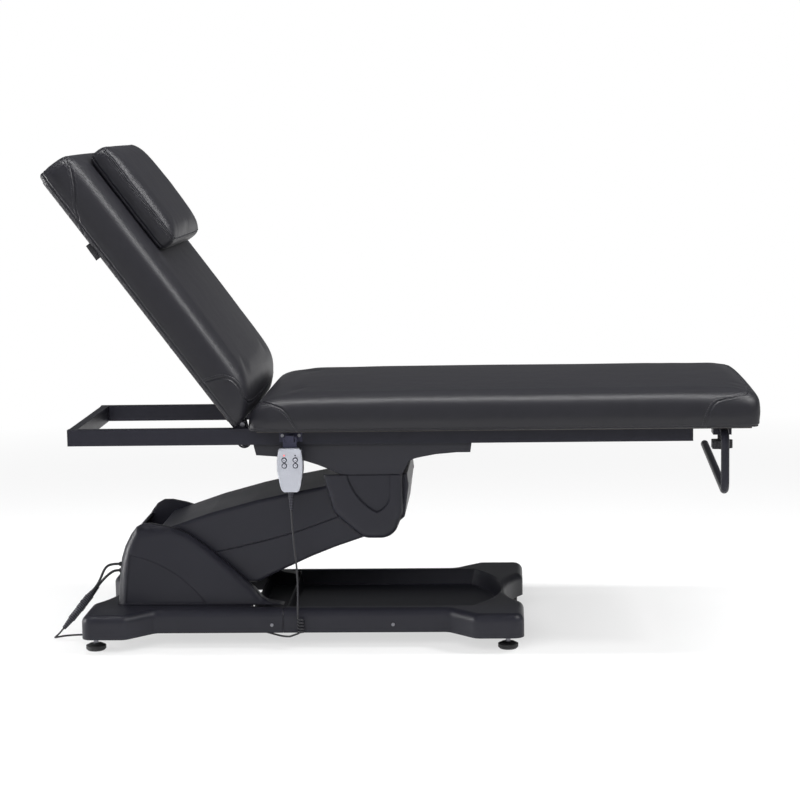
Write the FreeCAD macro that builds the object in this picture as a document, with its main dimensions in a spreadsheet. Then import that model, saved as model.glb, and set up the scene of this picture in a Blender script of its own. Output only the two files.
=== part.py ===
import FreeCAD, Part
import math
import os
import Sketcher

Vector = FreeCAD.Vector
document = FreeCAD.newDocument("TreatmentChair")
sheet = document.addObject("Spreadsheet::Sheet", "Sizes")
SIDE_Y = Vector(0, 1, 0)

# Driving sizes in millimetres and degrees: name, value, meaning
DRIVING = (
    ("deck_height", 540.6, "floor to the top of the rails"),
    ("deck_width", 456, "over the two rails"),
    ("rail_inset", 153.4, "rails in from the seat's foot end"),
    ("rail_height", 40, "height of the rail tube"),
    ("rail_width", 20, "width of the rail tube"),
    ("rail_wall", 2, "wall of the rail tube"),
    ("rail_head", 423, "rail behind the back hinge"),
    ("cap_plug", 12, "depth of a rail end plug"),
    ("cap_clearance", 0.1, "rail end plug to tube"),
    ("hinge_back", 393, "back hinge behind the origin"),
    ("hinge_rise", 5.4, "back hinge above the rails"),
    ("hinge_pin_radius", 4, "back hinge pin"),
    ("hinge_ear_radius", 9.5, "round end of a hinge ear"),
    ("hinge_ear_thickness", 6, "plate of a hinge ear"),
    ("hinge_ear_inset", 12, "outer ear in from the rail"),
    ("hinge_tube_ahead", 73, "first cross tube ahead of the hinge"),
    ("carrier_tube_ahead", 140, "second cross tube ahead of the upper shaft"),
    ("foot_tube_inset", 12, "last cross tube in from the rail ends"),
    ("cushion_width", 640, "width of seat and back"),
    ("seat_ahead", 26, "seat cushion ahead of the hinge"),
    ("seat_length", 1213, "seat cushion"),
    ("seat_height", 91, "seat with its board"),
    ("board_thickness", 12, "plywood"),
    ("board_inset", 10, "plywood in from the cushion edge"),
    ("board_clearance", 0.3, "foam round the plywood edge"),
    ("cushion_crown", 5, "rise of a cushion at its middle"),
    ("cushion_corner", 38, "rounded long edges of a cushion"),
    ("cushion_draw", 9, "drawn-in cushion side"),
    ("back_length", 752, "back cushion"),
    ("back_gap", 10.2, "back cushion behind the hinge line"),
    ("back_drop", 4.6, "underside of the back below the hinge"),
    ("back_height", 104.5, "back with its board"),
    ("back_tilt", 53.5, "back above the level"),
    ("pillow_width", 440, "head pillow"),
    ("pillow_length", 280, "head pillow along the back"),
    ("pillow_height", 64, "head pillow thickness"),
    ("pillow_from_top", 30, "head pillow below the back's top"),
    ("pillow_clearance", 0.9, "pillow above the back cushion"),
    ("base_back", 786, "base cover behind the origin"),
    ("base_length", 1072, "base cover"),
    ("base_low", 39, "underside of the base cover"),
    ("base_high", 97, "top of the base cover"),
    ("lobe_half", 313, "half width at the ends of the base"),
    ("waist_half", 244.5, "half width at the middle of the base"),
    ("rear_lobe", 108, "full-width stretch at the rear"),
    ("rear_taper", 65, "rear slope to the waist"),
    ("front_lobe", 116, "full-width stretch at the front"),
    ("front_taper", 67, "front slope to the waist"),
    ("cover_seam_back", 300, "joint of the base covers behind the origin"),
    ("cover_seam_gap", 0.6, "gap between the base covers"),
    ("cover_wall", 5, "moulded wall of the covers"),
    ("base_round", 19, "rounded upper edge of the base"),
    ("lobe_round", 27, "rounded corners of the base in plan"),
    ("notch_radius", 300, "hollow in each end of the base"),
    ("notch_depth", 46, "depth of that hollow"),
    ("notch_half", 160, "half width of that hollow"),
    ("tray_half", 214, "half width of the tray at its rim"),
    ("tray_front", 160, "front of the tray ahead of the origin"),
    ("tray_depth", 38, "tray below the rim"),
    ("tray_draft", 24, "slope of the tray walls in degrees"),
    ("tray_round", 30, "tray corners in plan"),
    ("tray_start", 380, "start of the tray floor behind the origin"),
    ("opening_back", 700, "rear edge of the opening under the housing"),
    ("rear_foot_back", 761, "rear feet behind the origin"),
    ("front_foot_ahead", 247, "front feet ahead of the origin"),
    ("foot_spread", 248, "feet from the middle line"),
    ("foot_radius", 24.5, "foot pad"),
    ("foot_height", 16, "foot pad height"),
    ("foot_edge", 4, "rounded edge of a foot pad"),
    ("stem_radius", 6, "levelling screw"),
    ("stem_nut", 10, "lock nut across its half width"),
    ("stem_nut_height", 8, "lock nut height"),
    ("chassis_low", 40, "underside of the steel base"),
    ("chassis_height", 15, "flat steel tube"),
    ("chassis_width", 30, "flat steel tube"),
    ("chassis_spread", 120, "long tubes from the middle line"),
    ("chassis_bar", 40, "cross bars over the feet"),
    ("chassis_bar_half", 272.5, "half length of a cross bar"),
    ("chassis_bar_inset", 58, "cross bar in from its feet"),
    ("pivot_back", 605, "lower shaft behind the origin"),
    ("pivot_height", 170, "lower shaft above the floor"),
    ("arm_length", 533.5, "between the two shafts"),
    ("arm_tilt", 18.8, "lift arm above the level"),
    ("shaft_radius", 15, "lift arm shafts"),
    ("fork_half", 152.5, "inside of a fork plate from the middle"),
    ("fork_plate", 6, "fork plate"),
    ("fork_radius", 30, "fork plate round its shaft"),
    ("turning_clearance", 0.05, "shaft to bore"),
    ("arm_tube_spread", 110, "arm tubes from the middle line"),
    ("arm_tube_width", 30, "arm tube"),
    ("arm_tube_height", 56, "arm tube"),
    ("arm_eye_radius", 34, "arm tube round a shaft"),
    ("arm_bar_radius", 15, "cross bar of the arm"),
    ("arm_half", 150, "half width of the arm cover"),
    ("arm_wall", 4, "moulded wall of the arm cover"),
    ("arm_start", 20, "arm cover ahead of the lower shaft"),
    ("arm_high", 102, "arm cover above the shafts at the housing"),
    ("arm_low", 100, "arm cover below the shafts at the housing"),
    ("arm_end_radius", 72, "round end of the arm cover"),
    ("arm_edge", 9, "rounded top edges of the arm cover"),
    ("arm_seam_gap", 0.6, "gap between the arm covers"),
    ("link_drop", 50, "level link below the shafts"),
    ("link_side", 66, "level link from the middle line"),
    ("link_thickness", 12, "level link"),
    ("link_height", 24, "level link"),
    ("link_eye_radius", 16, "level link ends"),
    ("pin_radius", 6, "pins of the links and motors"),
    ("link_play", 0.3, "level link to its upper pin"),
    ("side_clearance", 1, "beside a moving eye"),
    ("lug_thickness", 7, "pin lugs"),
    ("lift_pin_ahead", 60, "lift motor pin ahead of the lower shaft"),
    ("lift_pin_drop", 100, "lift motor pin below the lower shaft"),
    ("lift_eye_back", 103.5, "lift rod pin behind the upper shaft"),
    ("lift_eye_drop", 45, "lift rod pin below the arm line"),
    ("lift_play", 4.2, "play at the lift rod's open pin"),
    ("motor_eye_half", 14, "half width of a motor eye"),
    ("motor_eye_radius", 14, "motor eye"),
    ("gear_length", 84, "gear case of a motor"),
    ("gear_half", 27, "gear case half width"),
    ("gear_drop", 25, "gear case below the line"),
    ("motor_radius", 23, "electric motor"),
    ("motor_length", 115, "electric motor"),
    ("motor_offset", 49, "electric motor from the rod line"),
    ("outer_tube_radius", 21, "fixed tube of a motor"),
    ("lift_tube_length", 215, "fixed tube of the lift motor"),
    ("rod_radius", 11, "sliding rod"),
    ("rod_clearance", 0.1, "rod to fixed tube"),
    ("rod_eye_half", 10, "half width of a rod eye"),
    ("rod_eye_wall", 8, "steel round a rod eye"),
    ("back_pin_ahead", 125, "back motor pin ahead of the upper shaft"),
    ("back_pin_height", 472, "back motor pin above the floor"),
    ("crank_length", 70, "crank below the back hinge"),
    ("crank_lean", 16, "crank from the upright"),
    ("crank_width", 20, "crank plate"),
    ("crank_play", 8.6, "play at the crank's open pin"),
    ("back_tube_length", 190, "fixed tube of the back motor"),
    ("back_tube_radius", 17, "fixed tube of the back motor"),
    ("back_line_rise", 5.4, "back rod line above the crank pin"),
    ("carrier_end", 28, "height of the carrier's front channel"),
    ("carrier_tie", 8, "tie plate between the carrier plates"),
    ("carrier_tie_gap", 9, "tie plate above the arm cover"),
    ("hub_half", 178, "half width of the hub cover"),
    ("hub_inside", 161, "inside half width of the hub cover"),
    ("hub_play", 5, "hub cover round the arm cover"),
    ("hub_high", 416, "top of the hub cover above the floor"),
    ("hub_back", 103, "hub cover behind the upper shaft"),
    ("hub_ahead", 94, "hub cover ahead of the upper shaft"),
    ("hub_low", 86, "hub cover below the upper shaft"),
    ("hub_dish", 5, "dished panel of the hub cover"),
    ("hub_edge", 6, "rounded rim of the hub cover"),
    ("hub_round", 45, "rounded corners of the hub cover's side"),
    ("hub_band", 13, "front band ahead of the hub's cheeks"),
    ("wing_half", 200, "half width of the wing cover"),
    ("wing_back", 268, "wing cover behind the upper shaft"),
    ("wing_ahead", 264, "wing cover ahead of the upper shaft"),
    ("wing_wall", 4, "moulded wall of the wing cover"),
    ("wing_keel_half", 96, "half width of the wing's deeper middle"),
    ("wing_slot", 56, "slot in the wing's rear end for the crank"),
    ("wing_slot_half", 26, "half width of that slot"),
    ("wing_end", 31, "height of the wing cover's ends"),
    ("wing_slope_half", 176, "half width at the foot of the wing cover"),
    ("housing_half", 195, "half width of the housing at its foot"),
    ("housing_crest_half", 176, "half width of the housing at its crest"),
    ("housing_crest", 298, "crest of the housing above the floor"),
    ("housing_back", 112, "housing behind the lower shaft"),
    ("housing_ahead", 302, "housing ahead of the lower shaft"),
    ("housing_wall", 6, "moulded wall of the housing"),
    ("mouth_half", 160, "half width of the housing's mouth"),
    ("housing_edge", 11, "rounded crest of the housing"),
    ("panel_depth", 2.5, "recessed arch in the housing's side"),
    ("box_length", 110, "control box"),
    ("box_width", 92, "control box"),
    ("box_height", 34, "control box"),
    ("gland_radius", 5.5, "cable gland"),
    ("gland_length", 18, "cable gland"),
    ("screw_radius", 4, "cover screw head"),
    ("screw_height", 2.2, "cover screw head"),
    ("handset_back", 272.5, "handset behind the origin"),
    ("handset_high", 497, "top of the handset above the floor"),
    ("handset_height", 107, "handset"),
    ("handset_width", 62, "handset"),
    ("handset_face", 268, "front of the handset from the middle"),
    ("handset_depth", 25, "handset"),
    ("handset_shell", 9, "depth of the pale front shell"),
    ("handset_edge", 3, "rounded rim of the handset"),
    ("button_radius", 6.3, "handset button"),
    ("button_rise", 1.8, "button above the face"),
    ("button_depth", 5, "button well"),
    ("button_clearance", 0.3, "button to its well"),
    ("button_across", 26.8, "button spacing across"),
    ("button_up", 13.7, "button spacing up"),
    ("button_drop", 42, "lower button row below the top"),
    ("light_radius", 1.8, "handset light"),
    ("light_drop", 17, "lights below the top"),
    ("hook_width", 34, "handset hook"),
    ("hook_thickness", 4, "handset hook"),
    ("hook_rise", 27, "handset hook above the handset"),
    ("bracket_width", 56, "hook bracket on the rail"),
    ("bracket_height", 26, "hook bracket on the rail"),
    ("bracket_thickness", 3, "hook bracket plate"),
    ("relief_length", 44, "strain relief"),
    ("relief_wide", 7.5, "strain relief at the handset"),
    ("relief_thin", 3.6, "strain relief at the cord"),
    ("bar_inset", 79, "roll bar in from the seat's foot end"),
    ("bar_radius", 10, "roll bar tube"),
    ("bar_bend", 26, "bend of the roll bar tube"),
    ("bar_gap", 13, "roll bar tube below the cushion"),
    ("bar_leg_side", 265, "hanging leg from the middle line"),
    ("bar_leg", 145, "hanging leg"),
    ("bar_reach", 525, "length of the lower bar"),
    ("bar_lift", 35, "rise of the lower bar's free end"),
    ("bar_stub", 130, "upper stub of the roll bar"),
    ("clamp_length", 44, "clamp block"),
    ("clamp_width", 50, "clamp block"),
    ("clamp_wall", 7, "clamp block under the tube"),
    ("clamp_from_leg", 66, "clamp block from the leg"),
    ("clamp_clearance", 0.08, "tube to clamp block"),
    ("knob_radius", 27, "star knob"),
    ("knob_height", 20, "star knob"),
    ("knob_screw", 4, "star knob screw"),
    ("knob_gap", 16, "star knob below the clamp"),
    ("cord_radius", 2.3, "handset cord"),
    ("lead_radius", 3.2, "leads of the base"),
    ("curl_radius", 6.3, "curls of the handset cord"),
    ("curl_pitch", 7.6, "one curl to the next"),
    ("curl_turns", 5, "curls of the handset cord"),
    ("connector_radius", 9, "inline connector"),
    ("connector_length", 70, "inline connector of the first lead"),
    ("connector_boot", 5, "small end of a connector"),
)

for row, (alias, value, meaning) in enumerate(DRIVING, 1):
    sheet.set(f"A{row}", meaning)
    sheet.set(f"B{row}", str(value))
    sheet.setAlias(f"B{row}", alias)
document.recompute()


class Size:
    """A value and the formula that gives it from the sheet."""

    def __init__(self, value, formula):
        self.value = value
        self.formula = formula

    def __float__(self):
        return float(self.value)

    def __add__(self, other):
        other = sized(other)
        return Size(self.value + other.value, f"({self.formula} + {other.formula})")

    def __sub__(self, other):
        other = sized(other)
        return Size(self.value - other.value, f"({self.formula} - {other.formula})")

    def __mul__(self, other):
        other = sized(other)
        return Size(self.value * other.value, f"({self.formula} * {other.formula})")

    def __truediv__(self, other):
        other = sized(other)
        return Size(self.value / other.value, f"({self.formula} / {other.formula})")

    def __neg__(self):
        return Size(-self.value, f"(0 - {self.formula})")

    def __radd__(self, other):
        return sized(other) + self

    def __rsub__(self, other):
        return sized(other) - self

    def __rmul__(self, other):
        return sized(other) * self


def sized(number):
    return number if isinstance(number, Size) else Size(number, repr(number))


def sine(angle):
    return Size(math.sin(math.radians(angle.value)), f"sin({angle.formula})")


def cosine(angle):
    return Size(math.cos(math.radians(angle.value)), f"cos({angle.formula})")


class Sizes:
    """Each driving size by its name."""


for alias, value, meaning in DRIVING:
    setattr(Sizes, alias, Size(float(sheet.get(alias)), f"Sizes.{alias}"))
S = Sizes

PARTS = []


def bind(thing, path, size):
    """One property that follows the sheet."""
    thing.setExpression(path, sized(size).formula)


def kept(thing, label):
    """A sub-part of the chair, under the name of its file."""
    thing.Label = label
    PARTS.append(thing)
    return thing


def place(thing, x=0, y=0, z=0, angle=None):
    """Where a piece stands, turned about its own cross axis."""
    if angle is not None:
        turn = FreeCAD.Rotation(SIDE_Y, float(angle))
        thing.Placement = FreeCAD.Placement(Vector(float(x), float(y), float(z)), turn)
        bind(thing, "Placement.Rotation.Angle", angle)
    bind(thing, "Placement.Base.x", x)
    bind(thing, "Placement.Base.y", y)
    bind(thing, "Placement.Base.z", z)
    return thing


def block(x, y, z, length, width, height, name="Block"):
    """A box from its lowest corner."""
    made = document.addObject("Part::Box", name)
    bind(made, "Length", length)
    bind(made, "Width", width)
    bind(made, "Height", height)
    return place(made, x, y, z)


def block_across(x, z, length, height, half, name="Block"):
    """A box that lies evenly about the middle line."""
    return block(x, -sized(half), z, length, sized(half) * 2, height, name)


def bar(start, radius, length, axis, name="Bar"):
    """A round bar that starts at a point and runs along x, y or z."""
    made = document.addObject("Part::Cylinder", name)
    bind(made, "Radius", radius)
    bind(made, "Height", length)
    direction = {"x": Vector(1, 0, 0), "y": Vector(0, 1, 0), "z": Vector(0, 0, 1)}[axis]
    turn = FreeCAD.Rotation(Vector(0, 0, 1), direction)
    made.Placement = FreeCAD.Placement(Vector(), turn)
    return place(made, *start)


def bar_across(x, z, radius, half, name="Bar"):
    """A round bar across the chair, evenly about the middle line."""
    return bar((x, -sized(half), z), radius, sized(half) * 2, "y", name)


def cone(start, radius, end_radius, length, axis, name="Cone"):
    made = document.addObject("Part::Cone", name)
    bind(made, "Radius1", radius)
    bind(made, "Radius2", end_radius)
    bind(made, "Height", length)
    direction = {"x": Vector(1, 0, 0), "z": Vector(0, 0, 1), "-z": Vector(0, 0, -1)}[axis]
    turn = FreeCAD.Rotation(Vector(0, 0, 1), direction)
    made.Placement = FreeCAD.Placement(Vector(), turn)
    return place(made, *start)


def union(pieces, name="Union"):
    made = document.addObject("Part::MultiFuse", name)
    made.Shapes = pieces
    made.Refine = True
    return made


def cut(base, tools, name="Cut"):
    made = document.addObject("Part::Cut", name)
    made.Base = base
    made.Tool = tools[0] if len(tools) == 1 else union(tools)
    return made


def common(first, second, name="Common"):
    made = document.addObject("Part::Common", name)
    made.Base = first
    made.Tool = second
    return made


def together(pieces, name="Group"):
    """Like pieces that stay separate solids of one node."""
    made = document.addObject("Part::Compound", name)
    made.Links = pieces
    return made


def arc_centre(start, end, radius, side):
    """Centre of an arc of less than half a turn, on the left for side 1."""
    chord = end - start
    rise = math.sqrt(max(radius ** 2 - chord.Length ** 2 / 4, 0))
    left = Vector(-chord.y, chord.x, 0).normalize()
    return (start + end) / 2 + left * rise * side


def bound_corner(sketch, geometry, position, corner):
    """A sketch vertex held at two sizes from the sketch's origin."""
    for kind, size in (("DistanceX", corner[0]), ("DistanceY", corner[1])):
        value = float(sized(size))
        rule = Sketcher.Constraint(kind, -1, 1, geometry, position, value)
        index = sketch.addConstraint(rule)
        if isinstance(size, Size):
            bind(sketch, f"Constraints[{index}]", size)


def draw(sketch, corners):
    """A closed outline; a corner with a radius and a side is reached by an arc."""
    starts = []
    for index, corner in enumerate(corners):
        before = corners[index - 1]
        start = Vector(float(sized(before[0])), float(sized(before[1])), 0)
        end = Vector(float(sized(corner[0])), float(sized(corner[1])), 0)
        if len(corner) == 2:
            number = sketch.addGeometry(Part.LineSegment(start, end), False)
            starts.append((number, 1, 2))
            continue
        radius, side = corner[2], corner[3]
        centre = arc_centre(start, end, float(sized(radius)), side)
        first, last = (start, end) if side > 0 else (end, start)
        angles = [math.atan2(p.y - centre.y, p.x - centre.x) for p in (first, last)]
        circle = Part.Circle(centre, Vector(0, 0, 1), float(sized(radius)))
        number = sketch.addGeometry(Part.ArcOfCircle(circle, *angles), False)
        starts.append((number, 1, 2) if side > 0 else (number, 2, 1))
        rule = Sketcher.Constraint("Radius", number, float(sized(radius)))
        held = sketch.addConstraint(rule)
        bind(sketch, f"Constraints[{held}]", radius)
    for index, (number, first, last) in enumerate(starts):
        after = starts[(index + 1) % len(starts)]
        sketch.addConstraint(Sketcher.Constraint("Coincident", number, last, after[0], after[1]))
        bound_corner(sketch, number, last, corners[index])


def draw_circle(sketch, centre, radius):
    middle = Vector(float(sized(centre[0])), float(sized(centre[1])), 0)
    circle = Part.Circle(middle, Vector(0, 0, 1), float(sized(radius)))
    number = sketch.addGeometry(circle, False)
    rule = Sketcher.Constraint("Radius", number, float(sized(radius)))
    bind(sketch, f"Constraints[{sketch.addConstraint(rule)}]", radius)
    bound_corner(sketch, number, 3, centre)


def new_body(name):
    return document.addObject("PartDesign::Body", name)


def outline(owner, plane, outlines, level=0):
    """A sketch on one of the body's own planes, at a level along its normal."""
    sketch = owner.newObject("Sketcher::SketchObject", owner.Name + "_outline")
    face = [p for p in owner.Origin.OriginFeatures if p.Role == plane + "_Plane"][0]
    sketch.AttachmentSupport = (face, [""])
    sketch.MapMode = "FlatFace"
    bind(sketch, "AttachmentOffset.Base.z", level)
    for shape in outlines:
        if isinstance(shape, tuple):
            draw_circle(sketch, shape[:2], shape[2])
        else:
            draw(sketch, shape)
    return sketch


def pad(owner, plane, outlines, depth, level=0, even=False, taper=None):
    """Adds material from a level, or evenly about it."""
    feature = owner.newObject("PartDesign::Pad", owner.Name + "_pad")
    feature.Profile = outline(owner, plane, outlines, level)
    bind(feature, "Length", depth)
    if even:
        feature.SideType = "Symmetric"
    if taper is not None:
        bind(feature, "TaperAngle", taper)
    document.recompute()
    return feature


def pocket(owner, plane, outlines, depth, level=0, even=False, ahead=False, taper=None):
    """Removes material from a level, against its normal unless ahead is set."""
    feature = owner.newObject("PartDesign::Pocket", owner.Name + "_pocket")
    feature.Profile = outline(owner, plane, outlines, level)
    bind(feature, "Length", depth)
    if even:
        feature.SideType = "Symmetric"
    if ahead:
        feature.Reversed = True
    if taper is not None:
        bind(feature, "TaperAngle", taper)
    before = owner.Shape.Volume
    document.recompute()
    if not owner.Shape.Volume < before:
        raise ValueError(f"a pocket of {owner.Name} cuts nothing")
    return feature


def rounded(owner, radius, choose):
    """Rounds the edges of the body that the chooser picks."""
    edges = [f"Edge{n}" for n, edge in enumerate(owner.Shape.Edges, 1) if choose(edge)]
    if not edges:
        raise ValueError(f"no edge of {owner.Name} to round")
    tip = owner.Tip
    feature = owner.newObject("PartDesign::Fillet", owner.Name + "_round")
    feature.Base = (tip, edges)
    bind(feature, "Radius", radius)
    document.recompute()
    return feature


def upright(edge):
    ends = [vertex.Point for vertex in edge.Vertexes]
    if len(ends) < 2:
        return False
    run = ends[1] - ends[0]
    return abs(run.x) + abs(run.y) < 0.001 * abs(run.z)


def plate(name, plane, outlines, depth, level=0, even=False):
    """A body made of one pad."""
    owner = new_body(name)
    pad(owner, plane, outlines, depth, level, even)
    return owner


def rectangle(left, low, right, high):
    return [(left, low), (right, low), (right, high), (left, high)]


def solid_of(shape, name):
    """A shape from Part's own functions, for forms that no feature makes."""
    made = document.addObject("Part::Feature", name)
    made.Shape = shape
    return made


# Reference places
HINGE_X = -S.hinge_back
HINGE_Z = S.deck_height + S.hinge_rise
PIVOT_X = -S.pivot_back
PIVOT_Z = S.pivot_height
HUB_X = PIVOT_X + S.arm_length * cosine(S.arm_tilt)
HUB_Z = PIVOT_Z + S.arm_length * sine(S.arm_tilt)
RAIL_LOW = S.deck_height - S.rail_height
RAIL_START = HINGE_X - S.rail_head
SEAT_END = HINGE_X + S.seat_ahead + S.seat_length
RAIL_END = SEAT_END - S.rail_inset
BAR_X = SEAT_END - S.bar_inset
BASE_REAR = -S.base_back
BASE_FRONT = BASE_REAR + S.base_length
SEAM_X = -S.cover_seam_back
CHASSIS_TOP = S.chassis_low + S.chassis_height
LUG_INSIDE = S.link_side - S.link_thickness / 2
LIFT_PIN_X = PIVOT_X + S.lift_pin_ahead
LIFT_PIN_Z = PIVOT_Z - S.lift_pin_drop
LIFT_EYE = S.arm_length - S.lift_eye_back


def cross_x():
    """Where the four cross tubes start, from head to foot."""
    return (RAIL_START, HINGE_X + S.hinge_tube_ahead, HUB_X + S.carrier_tube_ahead,
            RAIL_END - S.foot_tube_inset - S.rail_width)


# Deck

def rail_section(middle):
    half, wall = S.rail_width / 2, S.rail_wall
    outer = rectangle(middle - half, RAIL_LOW, middle + half, S.deck_height)
    inner = rectangle(middle - half + wall, RAIL_LOW + wall, middle + half - wall,
                      S.deck_height - wall)
    return [outer, inner]


def rails():
    for label, side in (("near_rail", -1), ("far_rail", 1)):
        middle = (S.deck_width - S.rail_width) / 2 * side
        kept(plate(label, "YZ", rail_section(middle), RAIL_END - RAIL_START, RAIL_START), label)


def rail_caps():
    """Plastic plugs in the four tube ends, each with a rim flush with the tube."""
    pieces = []
    gap = S.rail_wall + S.cap_clearance
    for side in (-1, 1):
        middle = (S.deck_width - S.rail_width) / 2 * side
        low_y = middle - S.rail_width / 2
        for start, plug in ((RAIL_START - S.rail_wall, RAIL_START),
                            (RAIL_END, RAIL_END - S.cap_plug)):
            rim = block(start, low_y, RAIL_LOW, S.rail_wall, S.rail_width, S.rail_height)
            core = block(plug, low_y + gap, RAIL_LOW + gap, S.cap_plug,
                         S.rail_width - gap * 2, S.rail_height - gap * 2)
            pieces.append(union([rim, core]))
    kept(together(pieces), "rail_caps")


def cross_tubes():
    pieces = []
    half = S.deck_width / 2 - S.rail_width
    for start in cross_x():
        tube = block_across(start, RAIL_LOW, S.rail_width, S.rail_height, half)
        wall = S.rail_wall
        bore = block_across(start + wall, RAIL_LOW + wall, S.rail_width - wall * 2,
                            S.rail_height - wall * 2, half + wall)
        pieces.append(cut(tube, [bore]))
    kept(together(pieces), "cross_tubes")


def ear_levels():
    """Inside faces of the fixed ear and of the moving ear beside it."""
    fixed = S.deck_width / 2 - S.rail_width - S.hinge_ear_inset - S.hinge_ear_thickness
    return fixed, fixed - S.hinge_ear_thickness - S.side_clearance


def hinge_ears():
    """Ears on the first cross tube that carry the back hinge."""
    pieces = []
    fixed, moving = ear_levels()
    start = HINGE_X - S.hinge_ear_radius
    length = S.hinge_tube_ahead + S.hinge_ear_radius
    ear_low = S.deck_height - S.rail_height / 2
    for side in (-1, 1):
        low_y = fixed if side > 0 else -fixed - S.hinge_ear_thickness
        arm = block(HINGE_X, low_y, ear_low, S.hinge_tube_ahead, S.hinge_ear_thickness,
                    S.rail_height / 2)
        web = block(start + S.hinge_ear_radius / 2, low_y, ear_low,
                    length / 2, S.hinge_ear_thickness, S.rail_height / 4)
        boss = bar((HINGE_X, low_y, HINGE_Z), S.hinge_ear_radius, S.hinge_ear_thickness, "y")
        bore = bar((HINGE_X, low_y, HINGE_Z), S.hinge_pin_radius, S.hinge_ear_thickness, "y")
        pieces.append(cut(union([arm, web, boss]), [bore]))
    kept(together(pieces), "hinge_ears")


def hinge_pins():
    """Headed pins through the fixed and the moving ears."""
    pieces = []
    fixed, moving = ear_levels()
    reach = fixed + S.hinge_ear_thickness - moving
    head = S.hinge_ear_thickness / 2
    for side in (-1, 1):
        low_y = moving if side > 0 else -moving - reach
        shank = bar((HINGE_X, low_y, HINGE_Z), S.hinge_pin_radius, reach, "y")
        outer = fixed + S.hinge_ear_thickness if side > 0 else -fixed - S.hinge_ear_thickness - head
        cap = bar((HINGE_X, outer, HINGE_Z), S.hinge_pin_radius * 1.5, head, "y")
        pieces.append(union([shank, cap]))
    kept(together(pieces), "hinge_pins")


# Cushions

def cushion_wire(x, half, low, high, corner, draw_in, crown):
    """A cross section: flat below, drawn-in bulging sides, rounded edges, crowned top."""
    shoulder = high - crown - corner
    edge = half - draw_in / 3
    bend = corner * math.sqrt(0.5)

    def at(y, z):
        return Vector(x, y, z)

    def side(sign):
        return (at(sign * (half - draw_in), low), at(sign * half, (low + shoulder) / 2),
                at(sign * edge, shoulder),
                at(sign * (edge - corner + bend), shoulder + bend),
                at(sign * (edge - corner), shoulder + corner))

    right, left = side(1), side(-1)
    edges = [Part.LineSegment(left[0], right[0]).toShape(),
             Part.Arc(right[0], right[1], right[2]).toShape(),
             Part.Arc(right[2], right[3], right[4]).toShape(),
             Part.Arc(right[4], at(0, high), left[4]).toShape(),
             Part.Arc(left[4], left[3], left[2]).toShape(),
             Part.Arc(left[2], left[1], left[0]).toShape()]
    return Part.Wire(edges)


def cushion_loft(width, low, height, stations):
    """A cushion along -x or +x from its sections, each given in shares.

    A station is: distance from the start, share of the half width, shares of the height
    for the underside and the top, and the share of the rounded edge."""
    wires = []
    for distance, half_share, low_share, high_share, corner_share in stations:
        corner = float(S.cushion_corner) * corner_share
        wires.append(cushion_wire(distance, width / 2 * half_share, low + height * low_share,
                                  low + height * high_share, corner,
                                  float(S.cushion_draw) * corner_share,
                                  float(S.cushion_crown) * corner_share))
    return Part.makeLoft(wires, True, False)


SEAT_END_SHARES = ((0, 0.93, 0, 0.17, 0.2), (0.1, 0.968, 0, 0.42, 0.5), (0.3, 0.99, 0, 0.67, 0.85),
                   (0.5, 1, 0, 0.85, 1), (0.9, 1, 0, 0.95, 1), (1.6, 1, 0, 0.975, 1), (3.4, 1, 0, 0.99, 1))
SEAT_FOOT_SHARES = ((6.6, 1, 0, 1, 1), (4, 1, 0, 1, 1), (1.5, 1, 0, 1, 1), (0.6, 0.998, 0, 0.99, 1),
                    (0.2, 0.98, 0, 0.95, 0.9), (0.04, 0.95, 0, 0.86, 0.78), (0, 0.92, 0, 0.76, 0.62))


def seat():
    width, height = float(S.cushion_width), float(S.seat_height)
    start, length = float(HINGE_X + S.seat_ahead), float(S.seat_length)
    low = float(S.deck_height)
    stations = [(start + share[0] * height,) + share[1:] for share in SEAT_END_SHARES]
    stations += [(start + length - share[0] * height,) + share[1:] for share in SEAT_FOOT_SHARES]
    whole = cushion_loft(width, low, height, stations)
    inset, gap = float(S.board_inset), float(S.board_clearance)
    end = inset * 2
    board = Part.makeBox(length - end * 2, width - inset * 4, float(S.board_thickness),
                         Vector(start + end, -width / 2 + inset * 2, low))
    room = Part.makeBox(length - end * 2 + gap * 2, width - inset * 4 + gap * 2,
                        float(S.board_thickness), Vector(start + end - gap,
                                                         -width / 2 + inset * 2 - gap, low))
    kept(solid_of(whole.cut(room), "SeatCushion"), "seat_cushion")
    panel = block(HINGE_X + S.seat_ahead + S.board_inset * 2,
                  -S.cushion_width / 2 + S.board_inset * 2, S.deck_height,
                  S.seat_length - S.board_inset * 4, S.cushion_width - S.board_inset * 4,
                  S.board_thickness)
    kept(panel, "seat_board")


BACK_LOW_SHARES = ((0, 0.93, 0, 0.2, 0.25), (0.1, 0.968, 0, 0.42, 0.55), (0.3, 0.99, 0, 0.62, 0.8),
                   (0.6, 1, 0, 0.86, 1), (1.1, 1, 0, 0.96, 1), (2.2, 1, 0, 0.99, 1))
BACK_TOP_SHARES = ((4, 1, 0, 1, 1), (2, 1, 0, 1, 1), (1, 1, 0, 0.997, 1), (0.42, 1, 0, 0.982, 1),
                   (0.14, 0.985, 0, 0.93, 0.93), (0.02, 0.955, 0, 0.81, 0.72),
                   (-0.02, 0.925, 0, 0.66, 0.52))


def back_place(thing):
    return place(thing, HINGE_X, 0, HINGE_Z, S.back_tilt)


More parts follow.
